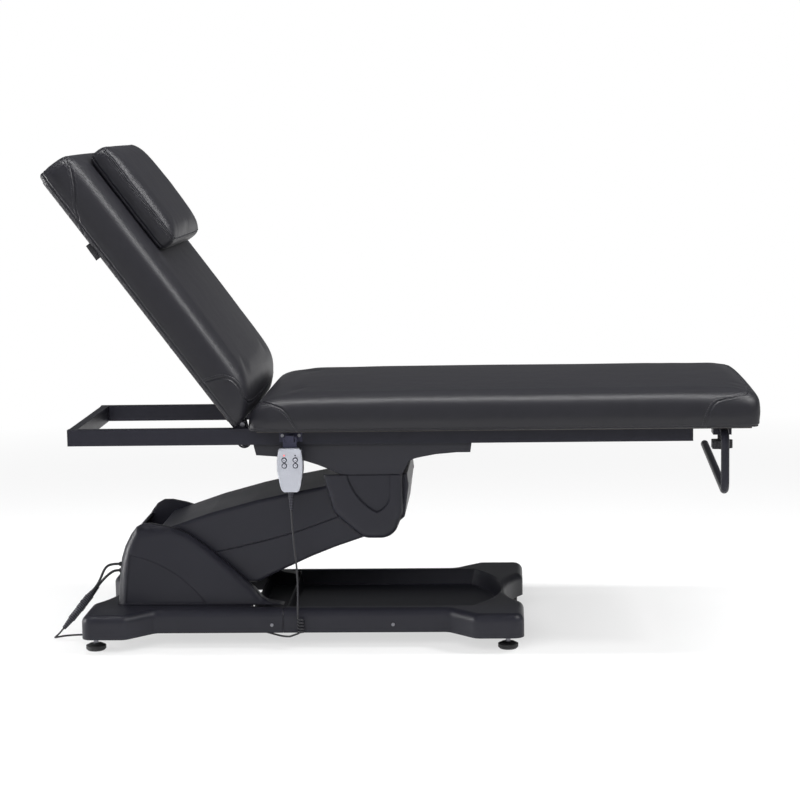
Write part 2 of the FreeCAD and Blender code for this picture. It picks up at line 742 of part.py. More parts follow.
def backrest():
    """The back lies flat along -x from its hinge, then turns up about it."""
    width, height = float(S.cushion_width), float(S.back_height)
    start, length = -float(S.back_gap), float(S.back_length)
    low = -float(S.back_drop)
    stations = [(start - share[0] * height,) + share[1:] for share in BACK_LOW_SHARES]
    stations += [(start - length + share[0] * height,) + share[1:] for share in BACK_TOP_SHARES]
    whole = cushion_loft(width, low, height, stations)
    inset, gap = float(S.board_inset), float(S.board_clearance)
    end = inset * 2
    room = Part.makeBox(length - end * 2 + gap * 2, width - inset * 4 + gap * 2,
                        float(S.board_thickness), Vector(start - length + end - gap,
                                                         -width / 2 + inset * 2 - gap, low))
    cushion = back_place(solid_of(whole.cut(room), "BackCushion"))
    kept(cushion, "backrest_cushion")
    panel = plate("BackBoard", "XY",
                  [rectangle(-S.back_gap - S.back_length + S.board_inset * 2,
                             -S.cushion_width / 2 + S.board_inset * 2,
                             -S.back_gap - S.board_inset * 2,
                             S.cushion_width / 2 - S.board_inset * 2)],
                  S.board_thickness, -S.back_drop)
    kept(back_place(panel), "backrest_board")


def backrest_frame():
    """Straps below the back board, hinge ears and the crank for the motor."""
    strap_length, strap_height = S.rail_head * 0.86, S.rail_width
    low = -S.back_drop - strap_height
    fixed, moving = ear_levels()
    pieces = []
    for side in (-1, 1):
        low_y = moving if side > 0 else -moving - S.hinge_ear_thickness
        strap_y = moving - S.rail_width if side > 0 else -moving
        pieces.append(block(-strap_length, strap_y, low, strap_length - S.hinge_ear_radius * 2,
                            S.rail_width, strap_height))
        pieces.append(block(-S.hinge_ear_radius * 4, low_y, low, S.hinge_ear_radius * 4,
                            S.hinge_ear_thickness, strap_height))
        pieces.append(block(-S.hinge_ear_radius, low_y, low, S.hinge_ear_radius,
                            S.hinge_ear_thickness, -low))
        pieces.append(bar((0, low_y, 0), S.hinge_ear_radius, S.hinge_ear_thickness, "y"))
    tie_x = -S.hinge_ear_radius * 4
    pieces.append(block_across(tie_x, low, S.rail_width, strap_height, moving))
    crank = crank_pieces(low, tie_x)
    frame = cut(union(pieces + crank[0]), crank[1] + frame_bores(moving))
    kept(back_place(frame), "backrest_frame")


def frame_bores(moving):
    bores = []
    radius = S.hinge_pin_radius + S.turning_clearance
    for side in (-1, 1):
        low_y = moving if side > 0 else -moving - S.hinge_ear_thickness
        bores.append(bar((0, low_y, 0), radius, S.hinge_ear_thickness, "y"))
    top_cut = block_across(-S.rail_head, -S.back_drop, S.rail_head - S.hinge_ear_radius * 2,
                           S.rail_height, S.deck_width / 2)
    return bores + [top_cut]


def crank_eye():
    """Centre of the crank's eye from the hinge, with the back laid flat."""
    angle = S.back_tilt - S.crank_lean
    return S.crank_length * sine(angle), -S.crank_length * cosine(angle)


def crank_pieces(low, tie_x):
    """Two crank plates on the tie bar, and the bores of their open pin."""
    eye_x, eye_z = crank_eye()
    eye_radius = S.pin_radius + S.crank_play + S.rod_eye_wall / 2
    solids, bores = [], []
    inside = S.rod_eye_half + S.side_clearance
    for side in (-1, 1):
        low_y = inside if side > 0 else -inside - S.lug_thickness
        arm = [(tie_x, low), (eye_x + eye_radius * 0.5, eye_z - eye_radius * 0.75),
               (eye_x + eye_radius * 0.7, eye_z + eye_radius * 0.6), (tie_x, -S.back_drop)]
        solids.append(plate("CrankPlate", "XZ", [arm], S.lug_thickness, -low_y - S.lug_thickness))
        solids.append(bar((eye_x, low_y, eye_z), eye_radius, S.lug_thickness, "y"))
        bores.append(bar((eye_x, low_y, eye_z), S.pin_radius + S.crank_play,
                         S.lug_thickness, "y"))
    return solids, bores


def pillow():
    """Head pillow: a box cushion with a crowned top and rounded, drawn-in sides."""
    width, height = float(S.pillow_width), float(S.pillow_height)
    length = float(S.pillow_length)
    start = -float(S.back_gap + S.back_length) + float(S.pillow_from_top)
    low = -float(S.back_drop) + float(S.back_height) + float(S.pillow_clearance)
    stations = []
    for distance, half, under, top, corner in PILLOW_SHARES:
        stations.append((start + distance * length, half, under, top, corner))
    whole = cushion_loft(width, low, height, stations)
    kept(back_place(solid_of(whole, "HeadPillow")), "head_pillow")


PILLOW_SHARES = ((0, 0.91, 0.14, 0.66, 0.3), (0.03, 0.965, 0.05, 0.8, 0.42), (0.11, 0.99, 0.014, 0.92, 0.5),
                 (0.28, 1, 0.002, 0.98, 0.55), (0.5, 1, 0, 1, 0.55), (0.72, 1, 0.002, 0.98, 0.55),
                 (0.89, 0.99, 0.014, 0.92, 0.5), (0.97, 0.965, 0.05, 0.8, 0.42), (1, 0.91, 0.14, 0.66, 0.3))


# Base

def base_plan(half_seam, rear):
    """Plan of one base cover; the other end is cut off at the seam."""
    if rear:
        return [(BASE_REAR, -S.lobe_half), (BASE_REAR + S.rear_lobe, -S.lobe_half),
                (BASE_REAR + S.rear_lobe + S.rear_taper, -S.waist_half),
                (SEAM_X - half_seam, -S.waist_half), (SEAM_X - half_seam, S.waist_half),
                (BASE_REAR + S.rear_lobe + S.rear_taper, S.waist_half),
                (BASE_REAR + S.rear_lobe, S.lobe_half), (BASE_REAR, S.lobe_half)]
    return [(BASE_FRONT, -S.lobe_half), (BASE_FRONT, S.lobe_half),
            (BASE_FRONT - S.front_lobe, S.lobe_half),
            (BASE_FRONT - S.front_lobe - S.front_taper, S.waist_half),
            (SEAM_X + half_seam, S.waist_half), (SEAM_X + half_seam, -S.waist_half),
            (BASE_FRONT - S.front_lobe - S.front_taper, -S.waist_half),
            (BASE_FRONT - S.front_lobe, -S.lobe_half)]


def cover_block(name, rear):
    """The outer block of a base cover with its end hollow and rounded edges."""
    owner = new_body(name)
    pad(owner, "XY", [base_plan(S.cover_seam_gap / 2, rear)], S.base_high - S.base_low, S.base_low)
    end = BASE_REAR - S.notch_radius + S.notch_depth if rear else (
        BASE_FRONT + S.notch_radius - S.notch_depth)
    pocket(owner, "XY", [(end, 0, S.notch_radius)], S.base_high - S.base_low, S.base_high)
    seam = float(SEAM_X)
    gap = float(S.rear_taper)
    rounded(owner, S.lobe_round, lambda edge: upright(edge)
            and abs(edge.CenterOfMass.x - seam) > gap)
    top = float(S.base_high)
    rounded(owner, S.base_round, lambda edge: edge.BoundBox.ZMin > top - 0.001 * top
            and edge.BoundBox.XMin - seam > -0.001 * gap - (10 * gap if rear else 0)
            and abs(edge.CenterOfMass.x - seam) > 0.01 * gap)
    return owner


def base_rear_cover():
    """Rear base moulding, open under the lift housing, with the start of the tray."""
    owner = cover_block("RearCover", True)
    wall = S.cover_wall
    lobe = S.lobe_half - wall * 2
    waist = S.waist_half - wall * 2
    end, middle = BASE_REAR + wall * 2, BASE_REAR + S.notch_depth + wall * 2
    side = S.notch_half + wall * 2
    hollow = [(end, -lobe), (BASE_REAR + S.rear_lobe - wall, -lobe),
              (BASE_REAR + S.rear_lobe + S.rear_taper, -waist), (-S.tray_start - wall, -waist),
              (-S.tray_start - wall, waist), (BASE_REAR + S.rear_lobe + S.rear_taper, waist),
              (BASE_REAR + S.rear_lobe - wall, lobe), (end, lobe), (end, side), (middle, side),
              (middle, -side), (end, -side)]
    pocket(owner, "XY", [hollow], S.base_high - S.base_low - wall * 2, S.base_low, ahead=True)
    low = [rectangle(-S.tray_start - wall * 2, -waist, SEAM_X, waist)]
    pocket(owner, "XY", low, CHASSIS_TOP - S.base_low, S.base_low, ahead=True)
    mouth = [rectangle(-S.opening_back, -S.mouth_half - wall, -S.tray_start, S.mouth_half + wall)]
    pocket(owner, "XY", mouth, S.base_high - S.base_low, S.base_high)
    tray = [rectangle(-S.tray_start - wall, -S.tray_half, SEAM_X + wall, S.tray_half)]
    pocket(owner, "XY", tray, S.tray_depth, S.base_high, taper=-S.tray_draft)
    kept(owner, "base_rear_cover")


def base_front_cover():
    """Front base moulding: a dished tray between rims, with hollow lobes."""
    owner = cover_block("FrontCover", False)
    wall = S.cover_wall
    waist = S.waist_half - wall * 2
    lobe = S.lobe_half - wall * 2
    tail = BASE_FRONT - S.front_lobe - S.front_taper
    end, middle = BASE_FRONT - wall * 2, BASE_FRONT - S.notch_depth - wall * 2
    reach = S.notch_half + wall * 2
    low = [[(SEAM_X, -waist), (tail, -waist), (tail + S.front_taper + wall, -lobe), (end, -lobe),
            (end, -reach), (middle, -reach), (middle, reach), (end, reach), (end, lobe),
            (tail + S.front_taper + wall, lobe), (tail, waist), (SEAM_X, waist)]]
    pocket(owner, "XY", low, CHASSIS_TOP - S.base_low, S.base_low, ahead=True)
    lobes = []
    for side in (-1, 1):
        near, far = S.tray_half * side, lobe * side
        low_y, high_y = (near, far) if side > 0 else (far, near)
        lobes.append(rectangle(tail + S.front_taper + wall, low_y,
                               BASE_FRONT - S.notch_depth - wall * 2, high_y))
    pocket(owner, "XY", lobes, S.base_high - S.base_low - wall * 3, S.base_low, ahead=True)
    tray = [[(SEAM_X - wall, -S.tray_half), (S.tray_front, -S.tray_half),
             (S.tray_front, S.tray_half, S.notch_radius + S.notch_depth, 1),
             (SEAM_X - wall, S.tray_half)]]
    pocket(owner, "XY", tray, S.tray_depth, S.base_high, taper=-S.tray_draft)
    kept(owner, "base_front_cover")


def foot_places():
    return [(x, S.foot_spread * side) for x in (-S.rear_foot_back, S.front_foot_ahead)
            for side in (-1, 1)]


def feet():
    pads, stems = [], []
    for x, y in foot_places():
        skirt = bar((x, y, S.foot_edge), S.foot_radius, S.foot_height - S.foot_edge * 2, "z")
        under = cone((x, y, 0), S.foot_radius - S.foot_edge, S.foot_radius, S.foot_edge, "z")
        over = cone((x, y, S.foot_height - S.foot_edge), S.foot_radius,
                    S.foot_radius - S.foot_edge * 2, S.foot_edge, "z")
        pads.append(union([skirt, under, over]))
        stem = bar((x, y, S.foot_height), S.stem_radius, S.chassis_low - S.foot_height, "z")
        nut = bar((x, y, S.chassis_low - S.stem_nut_height), S.stem_nut, S.stem_nut_height, "z")
        stems.append(union([stem, nut]))
    kept(together(pads), "foot_pads")
    kept(together(stems), "foot_stems")


def lug_pair(x, z, radius, floor, inside, bores):
    """Two upright lugs with a pin bore, from a floor up to a pin's height."""
    pieces = []
    for low_y in (inside, -inside - S.lug_thickness):
        pieces.append(block(x - radius, low_y, floor, radius * 2, S.lug_thickness, z - floor))
        pieces.append(bar((x, low_y, z), radius, S.lug_thickness, "y"))
        bores.append(bar((x, low_y, z), S.pin_radius, S.lug_thickness, "y"))
    return pieces


def base_frame():
    """Welded steel base: long tubes, foot bars, the fork of the lower shaft and pin lugs."""
    pieces, bores = [], []
    start = -S.rear_foot_back + S.chassis_bar_inset
    length = S.rear_foot_back + S.front_foot_ahead - S.chassis_bar_inset * 2
    for side in (-1, 1):
        low_y = S.chassis_spread * side - S.chassis_width / 2
        pieces.append(block(start, low_y, S.chassis_low, length, S.chassis_width,
                            S.chassis_height))
    reach = S.stem_nut * 1.35
    plate_length = S.chassis_bar_inset + reach + S.chassis_bar / 2
    for x, side in ((-S.rear_foot_back, 1), (S.front_foot_ahead, -1)):
        middle = x + S.chassis_bar_inset * side
        pieces.append(block_across(middle - S.chassis_bar / 2, S.chassis_low, S.chassis_bar,
                                   S.chassis_height, S.chassis_bar_half))
        outer = x - reach if side > 0 else middle - S.chassis_bar / 2
        for low_y in (S.foot_spread - S.foot_radius, -S.foot_spread - S.foot_radius):
            pieces.append(block(outer, low_y, S.chassis_low, plate_length, S.foot_radius * 2,
                                S.chassis_height))
    outside = S.fork_half + S.fork_plate
    sole = S.fork_plate
    pieces.append(block_across(PIVOT_X - S.fork_radius * 2, CHASSIS_TOP,
                               S.fork_radius * 2 + S.lift_pin_ahead + S.motor_eye_radius,
                               sole, outside))
    for low_y in (S.fork_half, -outside):
        tower = [(PIVOT_X - S.fork_radius * 2, CHASSIS_TOP),
                 (PIVOT_X + S.fork_radius * 2, CHASSIS_TOP),
                 (PIVOT_X + S.fork_radius, PIVOT_Z), (PIVOT_X - S.fork_radius, PIVOT_Z)]
        pieces.append(plate("Tower", "XZ", [tower], S.fork_plate, -low_y - S.fork_plate))
        pieces.append(bar((PIVOT_X, low_y, PIVOT_Z), S.fork_radius, S.fork_plate, "y"))
        bores.append(bar((PIVOT_X, low_y, PIVOT_Z), S.shaft_radius, S.fork_plate, "y"))
    inside = S.motor_eye_half + S.side_clearance
    bores.append(block_across(LIFT_PIN_X - S.motor_eye_radius * 1.3, S.chassis_low,
                              S.motor_eye_radius * 3, S.chassis_height + sole * 2, inside))
    pieces += lug_pair(LIFT_PIN_X, LIFT_PIN_Z, S.motor_eye_radius, CHASSIS_TOP, inside, bores)
    link_low = PIVOT_Z - S.link_drop
    for low_y in (LUG_INSIDE - S.side_clearance - S.lug_thickness,
                  LUG_INSIDE + S.link_thickness + S.side_clearance):
        pieces.append(block(PIVOT_X - S.link_eye_radius, low_y, CHASSIS_TOP,
                            S.link_eye_radius * 2, S.lug_thickness, link_low - CHASSIS_TOP))
        pieces.append(bar((PIVOT_X, low_y, link_low), S.link_eye_radius, S.lug_thickness, "y"))
        bores.append(bar((PIVOT_X, low_y, link_low), S.pin_radius, S.lug_thickness, "y"))
    kept(cut(union(pieces), bores), "base_frame")


def base_pins():
    """Lower shaft, level link pin and lift motor pin, all held by the steel base."""
    half = S.fork_half + S.fork_plate
    kept(bar_across(PIVOT_X, PIVOT_Z, S.shaft_radius, half), "lower_arm_shaft")
    start = LUG_INSIDE - S.side_clearance - S.lug_thickness
    reach = S.link_thickness + (S.side_clearance + S.lug_thickness) * 2
    link_pin = bar((PIVOT_X, start, PIVOT_Z - S.link_drop), S.pin_radius, reach, "y")
    motor_half = S.motor_eye_half + S.side_clearance + S.lug_thickness
    motor_pin = bar_across(LIFT_PIN_X, LIFT_PIN_Z, S.pin_radius, motor_half)
    kept(together([link_pin, motor_pin]), "base_pins")


HOUSING_SHARES = ((-1, 0), (-0.955, 0.39), (-0.905, 0.56), (-0.82, 0.71), (-0.68, 0.86), (-0.55, 0.955),
                  (-0.4, 1), (-0.2, 1))
HOUSING_FALL_SHARES = ((0.04, 0.965), (0.1, 0.942), (0.16, 0.91), (0.225, 0.865), (0.29, 0.8), (0.354, 0.728),
                       (0.418, 0.65), (0.546, 0.486), (0.666, 0.322), (0.71, 0.257), (0.755, 0.197),
                       (0.79, 0.135), (0.818, 0.083), (0.85, 0.052), (0.882, 0.032), (1, 0))


def housing_profile(inset):
    """Side view of the housing as one smooth line over a flat foot."""
    rise = S.housing_crest - S.base_high
    points = []
    for across, up in HOUSING_SHARES:
        points.append((PIVOT_X + S.housing_back * across + inset, S.base_high + rise * up - inset * up))
    for across, up in HOUSING_FALL_SHARES:
        points.append((PIVOT_X + S.housing_ahead * across, S.base_high + rise * up))
    return points


def lift_housing():
    """Rear housing: two cheeks with a rounded crest and a curved back wall, open between."""
    rise = S.housing_crest - S.base_high
    body = new_body("Housing")
    pad(body, "XZ", [housing_profile(0)], S.housing_half * 2, even=True)
    slope = [(-S.housing_half, S.base_high), (S.housing_half, S.base_high),
             (S.housing_crest_half, S.housing_crest + S.housing_edge),
             (-S.housing_crest_half, S.housing_crest + S.housing_edge)]
    wedge = plate("HousingSlope", "YZ", [slope], S.housing_back + S.housing_ahead,
                  PIVOT_X - S.housing_back)
    outer = common(body, wedge)
    wall = S.housing_wall
    back = PIVOT_X - S.housing_back
    inner = [(back + wall, S.base_high - wall), (back + wall + S.housing_back * 0.045, S.base_high + rise * 0.39),
             (back + wall + S.housing_back * 0.095, S.base_high + rise * 0.56),
             (back + wall + S.housing_back * 0.3, S.base_high + rise * 0.82),
             (back, S.base_high + rise * 0.88), (back, S.housing_crest + wall),
             (PIVOT_X + S.housing_ahead + wall, S.housing_crest + wall),
             (PIVOT_X + S.housing_ahead + wall, S.base_high - wall)]
    mouth = plate("HousingMouth", "XZ", [inner], S.mouth_half * 2, even=True)
    glands = [bar((PIVOT_X - S.housing_back * 1.1, y, z), S.gland_radius, S.housing_back * 0.5, "x")
              for y, z in gland_places()]
    kept(cut(outer, [mouth] + glands + housing_panels()), "lift_housing")


def housing_panels():
    """The arched recess in each side, a little below the sloping face."""
    rise = S.housing_crest - S.base_high
    arch = [(PIVOT_X - S.housing_back * 0.8, S.base_high + rise * 0.03),
            (PIVOT_X + S.housing_ahead * 0.36, S.base_high + rise * 0.03),
            (PIVOT_X - S.housing_back * 0.7, S.base_high + rise * 0.62, S.housing_ahead, 1)]
    pieces = []
    for side in (-1, 1):
        low_y = 0 if side > 0 else -S.housing_half
        prism = plate("Arch", "XZ", [arch], S.housing_half, -sized(low_y) - S.housing_half)
        keep = [(0, S.base_high - S.housing_wall),
                ((S.housing_half - S.panel_depth) * side, S.base_high),
                ((S.housing_crest_half - S.panel_depth) * side, S.housing_crest + S.housing_edge),
                (0, S.housing_crest + S.housing_edge)]
        core = plate("ArchCore", "YZ", [keep], S.housing_back + S.housing_ahead,
                     PIVOT_X - S.housing_back)
        pieces.append(cut(prism, [core]))
    return pieces


def gland_places():
    rise = S.housing_crest - S.base_high
    side = -S.mouth_half * 0.94
    return [(side, S.base_high + rise * 0.478), (side, S.base_high + rise * 0.398)]


def housing_fittings():
    """Two cable glands in the back wall, the control box and the base cover screws."""
    pieces = []
    for y, z in gland_places():
        pieces.append(bar((PIVOT_X - S.housing_back * 0.98, y, z), S.gland_radius,
                          S.gland_length, "x"))
    kept(together(pieces), "cable_glands")
    box_x = PIVOT_X + S.lift_pin_ahead + S.gear_half
    box = block(box_x, -S.chassis_spread - S.chassis_width / 2, CHASSIS_TOP + S.fork_plate,
                S.box_length, S.box_width, S.box_height)
    foot = block(box_x + S.gear_half, -S.chassis_spread - S.chassis_width / 2, CHASSIS_TOP,
                 S.box_length - S.gear_half, S.box_width, S.fork_plate)
    kept(union([box, foot]), "control_box")
    heads = []
    height = (S.base_low + S.base_high) * 0.43
    for x in (SEAM_X - S.screw_radius * 7, SEAM_X + S.base_length / 4):
        heads.append(bar((x, -S.waist_half - S.screw_height, height), S.screw_radius,
                         S.screw_height, "y"))
        heads.append(bar((x, S.waist_half, height), S.screw_radius, S.screw_height, "y"))
    kept(together(heads), "cover_screws")


# Lift arm, drawn level from its lower shaft and then tilted

def arm_place(thing):
    return place(thing, PIVOT_X, 0, PIVOT_Z, -S.arm_tilt)


def arm_frame():
    """Two long tubes with an eye at each end, cross bars and the lug of the lift rod."""
    pieces, bores = [], []
    for side in (-1, 1):
        low_y = S.arm_tube_spread * side - S.arm_tube_width / 2
        pieces.append(block(0, low_y, -S.arm_tube_height / 2, S.arm_length, S.arm_tube_width,
                            S.arm_tube_height))
        for x in (0, S.arm_length):
            pieces.append(bar((x, low_y, 0), S.arm_eye_radius, S.arm_tube_width, "y"))
            bores.append(bar((x, low_y, 0), S.shaft_radius + S.turning_clearance,
                             S.arm_tube_width, "y"))
    inner = S.arm_tube_spread - S.arm_tube_width / 2
    pieces.append(bar_across(S.arm_length * 0.28, S.arm_tube_height / 2 - S.arm_bar_radius,
                             S.arm_bar_radius, inner))
    bar_z = S.arm_tube_height / 2 - S.arm_bar_radius
    pieces.append(bar_across(LIFT_EYE, bar_z, S.arm_bar_radius, inner))
    inside = S.rod_eye_half + S.side_clearance
    eye_radius = S.pin_radius + S.rod_eye_wall
    for low_y in (inside, -inside - S.lug_thickness):
        pieces.append(block(LIFT_EYE - eye_radius, low_y, -S.lift_eye_drop,
                            eye_radius * 2, S.lug_thickness, bar_z + S.lift_eye_drop))
        pieces.append(bar((LIFT_EYE, low_y, -S.lift_eye_drop), eye_radius,
                          S.lug_thickness, "y"))
    pieces.append(bar_across(LIFT_EYE, -S.lift_eye_drop, S.pin_radius,
                             inside + S.lug_thickness))
    kept(arm_place(cut(union(pieces), bores)), "arm_frame")


ARM_TOP_SHARES = ((0.036, 1), (0.3, 1), (0.51, 0.93), (0.69, 0.82))
ARM_LOW_SHARES = ((0.94, 0.8), (0.8, 0.8), (0.68, 0.83), (0.53, 0.91), (0.4, 1), (0.2, 0.68), (0.036, 0.3))
ARM_SEAM_SHARES = ((0, 0.24), (0.26, 0.07), (0.38, -0.01), (0.53, -0.08), (0.67, -0.12), (0.86, -0.1))


def arm_profile(inset):
    """Side view of the arm cover: arched above, hollowed below, round about the upper shaft."""
    points = []
    radius = S.arm_end_radius - inset
    for along, up in ARM_TOP_SHARES:
        points.append((S.arm_length * along, S.arm_high * up - inset))
    points.append((S.arm_length * 0.84, radius))
    points.append((S.arm_length, radius))
    points.append((S.arm_length + radius, 0, radius, -1))
    points.append((S.arm_length, -radius, radius, -1))
    for along, down in ARM_LOW_SHARES:
        points.append((S.arm_length * along, -S.arm_low * down + inset))
    return points


def arm_shell(name):
    """The arm's outer skin as one hollow moulding, open at the housing."""
    owner = new_body(name)
    pad(owner, "XZ", [arm_profile(0)], S.arm_half * 2, even=True)
    low = float(S.arm_tube_height) / 2

    def rim(edge):
        return edge.BoundBox.YLength < 0.001 * low and edge.BoundBox.XLength > 0.001 * low

    rounded(owner, S.arm_edge, rim)
    inner = arm_profile(S.arm_wall)
    start = S.arm_length * 0.036 - S.arm_wall
    inner[0] = (start, inner[0][1])
    inner[-1] = (start, inner[-1][1])
    pocket(owner, "XZ", [inner], (S.arm_half - S.arm_wall) * 2, even=True)
    slot_end = S.arm_length * 0.66
    floor = -S.arm_low - S.arm_wall
    pocket(owner, "XZ", [rectangle(0, floor, S.arm_length * 0.39, 0)],
           (S.arm_half - S.arm_wall) * 2, even=True)
    pocket(owner, "XZ", [rectangle(0, floor, slot_end, 0)],
           (S.motor_radius + S.arm_bar_radius) * 2, even=True)
    pocket(owner, "XZ", [(S.arm_length, 0, S.shaft_radius + S.side_clearance)],
           S.arm_half * 2 + S.arm_wall, even=True)
    return owner


def arm_seam(side):
    """The half plane above or below the side seam, as an outline."""
    gap = S.arm_seam_gap / 2 * side
    far = S.arm_high * 2 * side
    points = [(S.arm_length * along, S.arm_high * up + gap) for along, up in ARM_SEAM_SHARES]
    end = S.arm_length + S.arm_end_radius * 2
    return points + [(end, S.arm_high * -0.1 + gap), (end, far), (0, far)]


def arm_covers():
    for label, side in (("arm_upper_cover", 1), ("arm_lower_cover", -1)):
        shell = arm_shell(label + "_shell")
        half_space = plate(label + "_side", "XZ", [arm_seam(side)], S.arm_half * 3, even=True)
        kept(arm_place(common(shell, half_space)), label)


# Level link, lift motor and lift rod

def level_link():
    length, thick = S.arm_length, S.link_thickness
    web = block(0, LUG_INSIDE, -S.link_height / 2, length, thick, S.link_height)
    ends = [bar((x, LUG_INSIDE, 0), S.link_eye_radius, thick, "y") for x in (0, length)]
    bores = [bar((0, LUG_INSIDE, 0), S.pin_radius + S.turning_clearance, thick, "y"),
             bar((length, LUG_INSIDE, 0), S.pin_radius + S.link_play, thick, "y")]
    link = cut(union([web] + ends), bores)
    kept(place(link, PIVOT_X, 0, PIVOT_Z - S.link_drop, -S.arm_tilt), "level_link")


def motor_shape(tube_length, tube_radius, motor_side):
    """Linear motor along +x from its rear pin: eye, gear case, motor and fixed tube."""
    eye = bar_across(0, 0, S.motor_eye_radius, S.motor_eye_half)
    neck = block_across(0, -S.motor_eye_radius, S.motor_eye_radius * 2, S.motor_eye_radius * 2,
                        S.motor_eye_half)
    start = S.motor_eye_radius + S.side_clearance * 2
    reach = S.motor_offset + S.gear_drop
    low = -S.gear_drop if motor_side > 0 else -S.motor_offset
    case = block_across(start, low, S.gear_length - start, reach, S.gear_half)
    motor = bar((S.gear_length, 0, S.motor_offset * motor_side), S.motor_radius,
                S.motor_length - S.gear_length / 4, "x")
    tube = bar((S.gear_length, 0, 0), tube_radius, tube_length, "x")
    bore = bar((S.gear_length, 0, 0), S.rod_radius + S.rod_clearance, tube_length, "x")
    pin = bar_across(0, 0, S.pin_radius + S.turning_clearance, S.motor_eye_half)
    return cut(union([eye, neck, case, motor, tube]), [bore, pin])


def rod_shape(length, play, start):
    """Sliding rod whose far eye is the open pin of its linkage."""
    radius = S.pin_radius + play + S.rod_eye_wall
    shaft = bar((start, 0, 0), S.rod_radius, length - start - radius / 2, "x")
    eye = bar_across(length, 0, radius, S.rod_eye_half)
    bore = bar_across(length, 0, S.pin_radius + play, S.rod_eye_half)
    return cut(union([shaft, eye]), [bore])


def lift_line():
    """Length and tilt of the lift motor's line with the arm at rest."""
    along, down = LIFT_EYE, S.lift_eye_drop
    x = along * cosine(S.arm_tilt) + down * sine(S.arm_tilt) - S.lift_pin_ahead
    z = along * sine(S.arm_tilt) - down * cosine(S.arm_tilt) + S.lift_pin_drop
    length = Size(math.hypot(x.value, z.value), f"sqrt({x.formula}^2 + {z.formula}^2)")
    angle = Size(math.degrees(math.atan2(z.value, x.value)), f"(atan({z.formula} / {x.formula}) / 1 deg)")
    return length, angle


def lift_drive():
    length, angle = lift_line()
    motor = motor_shape(S.lift_tube_length, S.outer_tube_radius, 1)
    kept(place(motor, LIFT_PIN_X, 0, LIFT_PIN_Z, -angle), "lift_motor")
    rod = rod_shape(length, S.lift_play, S.gear_length + S.rod_radius * 1.5)
    kept(place(rod, LIFT_PIN_X, 0, LIFT_PIN_Z, -angle), "lift_rod")


# Carrier below the deck

def carrier_frame():
    """Fork plates, a tie plate, a front channel and the lugs of the back motor."""
    pieces, bores = [], []
    outside = S.fork_half + S.fork_plate
    top = RAIL_LOW
    skirt = wing_profile(S.wing_wall + S.side_clearance)
    neck = HUB_Z + S.hub_low * HUB_OPEN_SHARE + S.wing_wall
    rear = len(WING_BACK_SHARES) + 2
    side = skirt[:rear] + [(HUB_X - S.fork_radius * 1.3, neck), (HUB_X - S.fork_radius, HUB_Z),
                        (HUB_X + S.fork_radius, HUB_Z), (HUB_X + S.fork_radius * 1.3, neck)]
    side += skirt[rear:]
    for low_y in (S.fork_half, -outside):
        pieces.append(plate("CarrierPlate", "XZ", [side], S.fork_plate, -low_y - S.fork_plate))
        pieces.append(bar((HUB_X, low_y, HUB_Z), S.fork_radius, S.fork_plate, "y"))
        bores.append(bar((HUB_X, low_y, HUB_Z), S.shaft_radius, S.fork_plate, "y"))
    tie_z = HUB_Z + S.arm_end_radius + S.carrier_tie_gap
    pieces.append(block_across(HUB_X - S.fork_radius * 1.5, tie_z, S.fork_radius * 3,
                               S.carrier_tie, S.fork_half + S.fork_plate / 2))
    pin_x = HUB_X + S.back_pin_ahead
    wall_x = pin_x + S.motor_eye_radius + S.side_clearance * 3
    pieces.append(block_across(wall_x, top - S.carrier_end, S.rail_width, S.carrier_end,
                               S.fork_half + S.fork_plate / 2))
    inside = S.motor_eye_half + S.side_clearance
    radius = S.motor_eye_radius
    for low_y in (inside, -inside - S.lug_thickness):
        pieces.append(block(pin_x, low_y, S.back_pin_height - radius,
                            wall_x - pin_x + S.rail_width / 2, S.lug_thickness, radius * 2))
        pieces.append(bar((pin_x, low_y, S.back_pin_height), radius, S.lug_thickness, "y"))
        bores.append(bar((pin_x, low_y, S.back_pin_height), S.pin_radius, S.lug_thickness, "y"))
    kept(cut(union(pieces), bores), "carrier_frame")


def carrier_pins():
    """Upper shaft with the lever of the level link, and the back motor's pin."""
    shaft = bar_across(HUB_X, HUB_Z, S.shaft_radius, S.fork_half + S.fork_plate)
    lever_y = LUG_INSIDE - S.side_clearance - S.lug_thickness * 2
    thick = S.lug_thickness * 2
    boss = bar((HUB_X, lever_y, HUB_Z), S.shaft_radius + S.lug_thickness, thick, "y")
    arm = block(HUB_X - S.link_eye_radius * 0.8, lever_y, HUB_Z - S.link_drop,
                S.link_eye_radius * 1.6, thick, S.link_drop)
    eye = bar((HUB_X, lever_y, HUB_Z - S.link_drop), S.link_eye_radius * 0.8, thick, "y")
    pin = bar((HUB_X, lever_y, HUB_Z - S.link_drop), S.pin_radius,
              thick + S.link_thickness + S.side_clearance * 2, "y")
    kept(union([shaft, boss, arm, eye, pin]), "upper_arm_shaft")
    half = S.motor_eye_half + S.side_clearance + S.lug_thickness
    kept(bar_across(HUB_X + S.back_pin_ahead, S.back_pin_height, S.pin_radius, half),
         "back_motor_pin")


HUB_OPEN_SHARE = 0.75
HUB_SHARES = ((-1, 0.76, -0.26), (-1, 0.05, -1), (1, 0.72, -1), (1, 1, -0.25))


def hub_face():
    """Shield outline of the hub cover's side, before its corners are rounded."""
    points = [(HUB_X - S.hub_back, S.hub_high)]
    for side, across, up in HUB_SHARES:
        reach = S.hub_ahead * across if side > 0 else -S.hub_back * across
        points.append((HUB_X + reach, HUB_Z + S.hub_low * up))
    return points + [(HUB_X + S.hub_ahead, S.hub_high)]


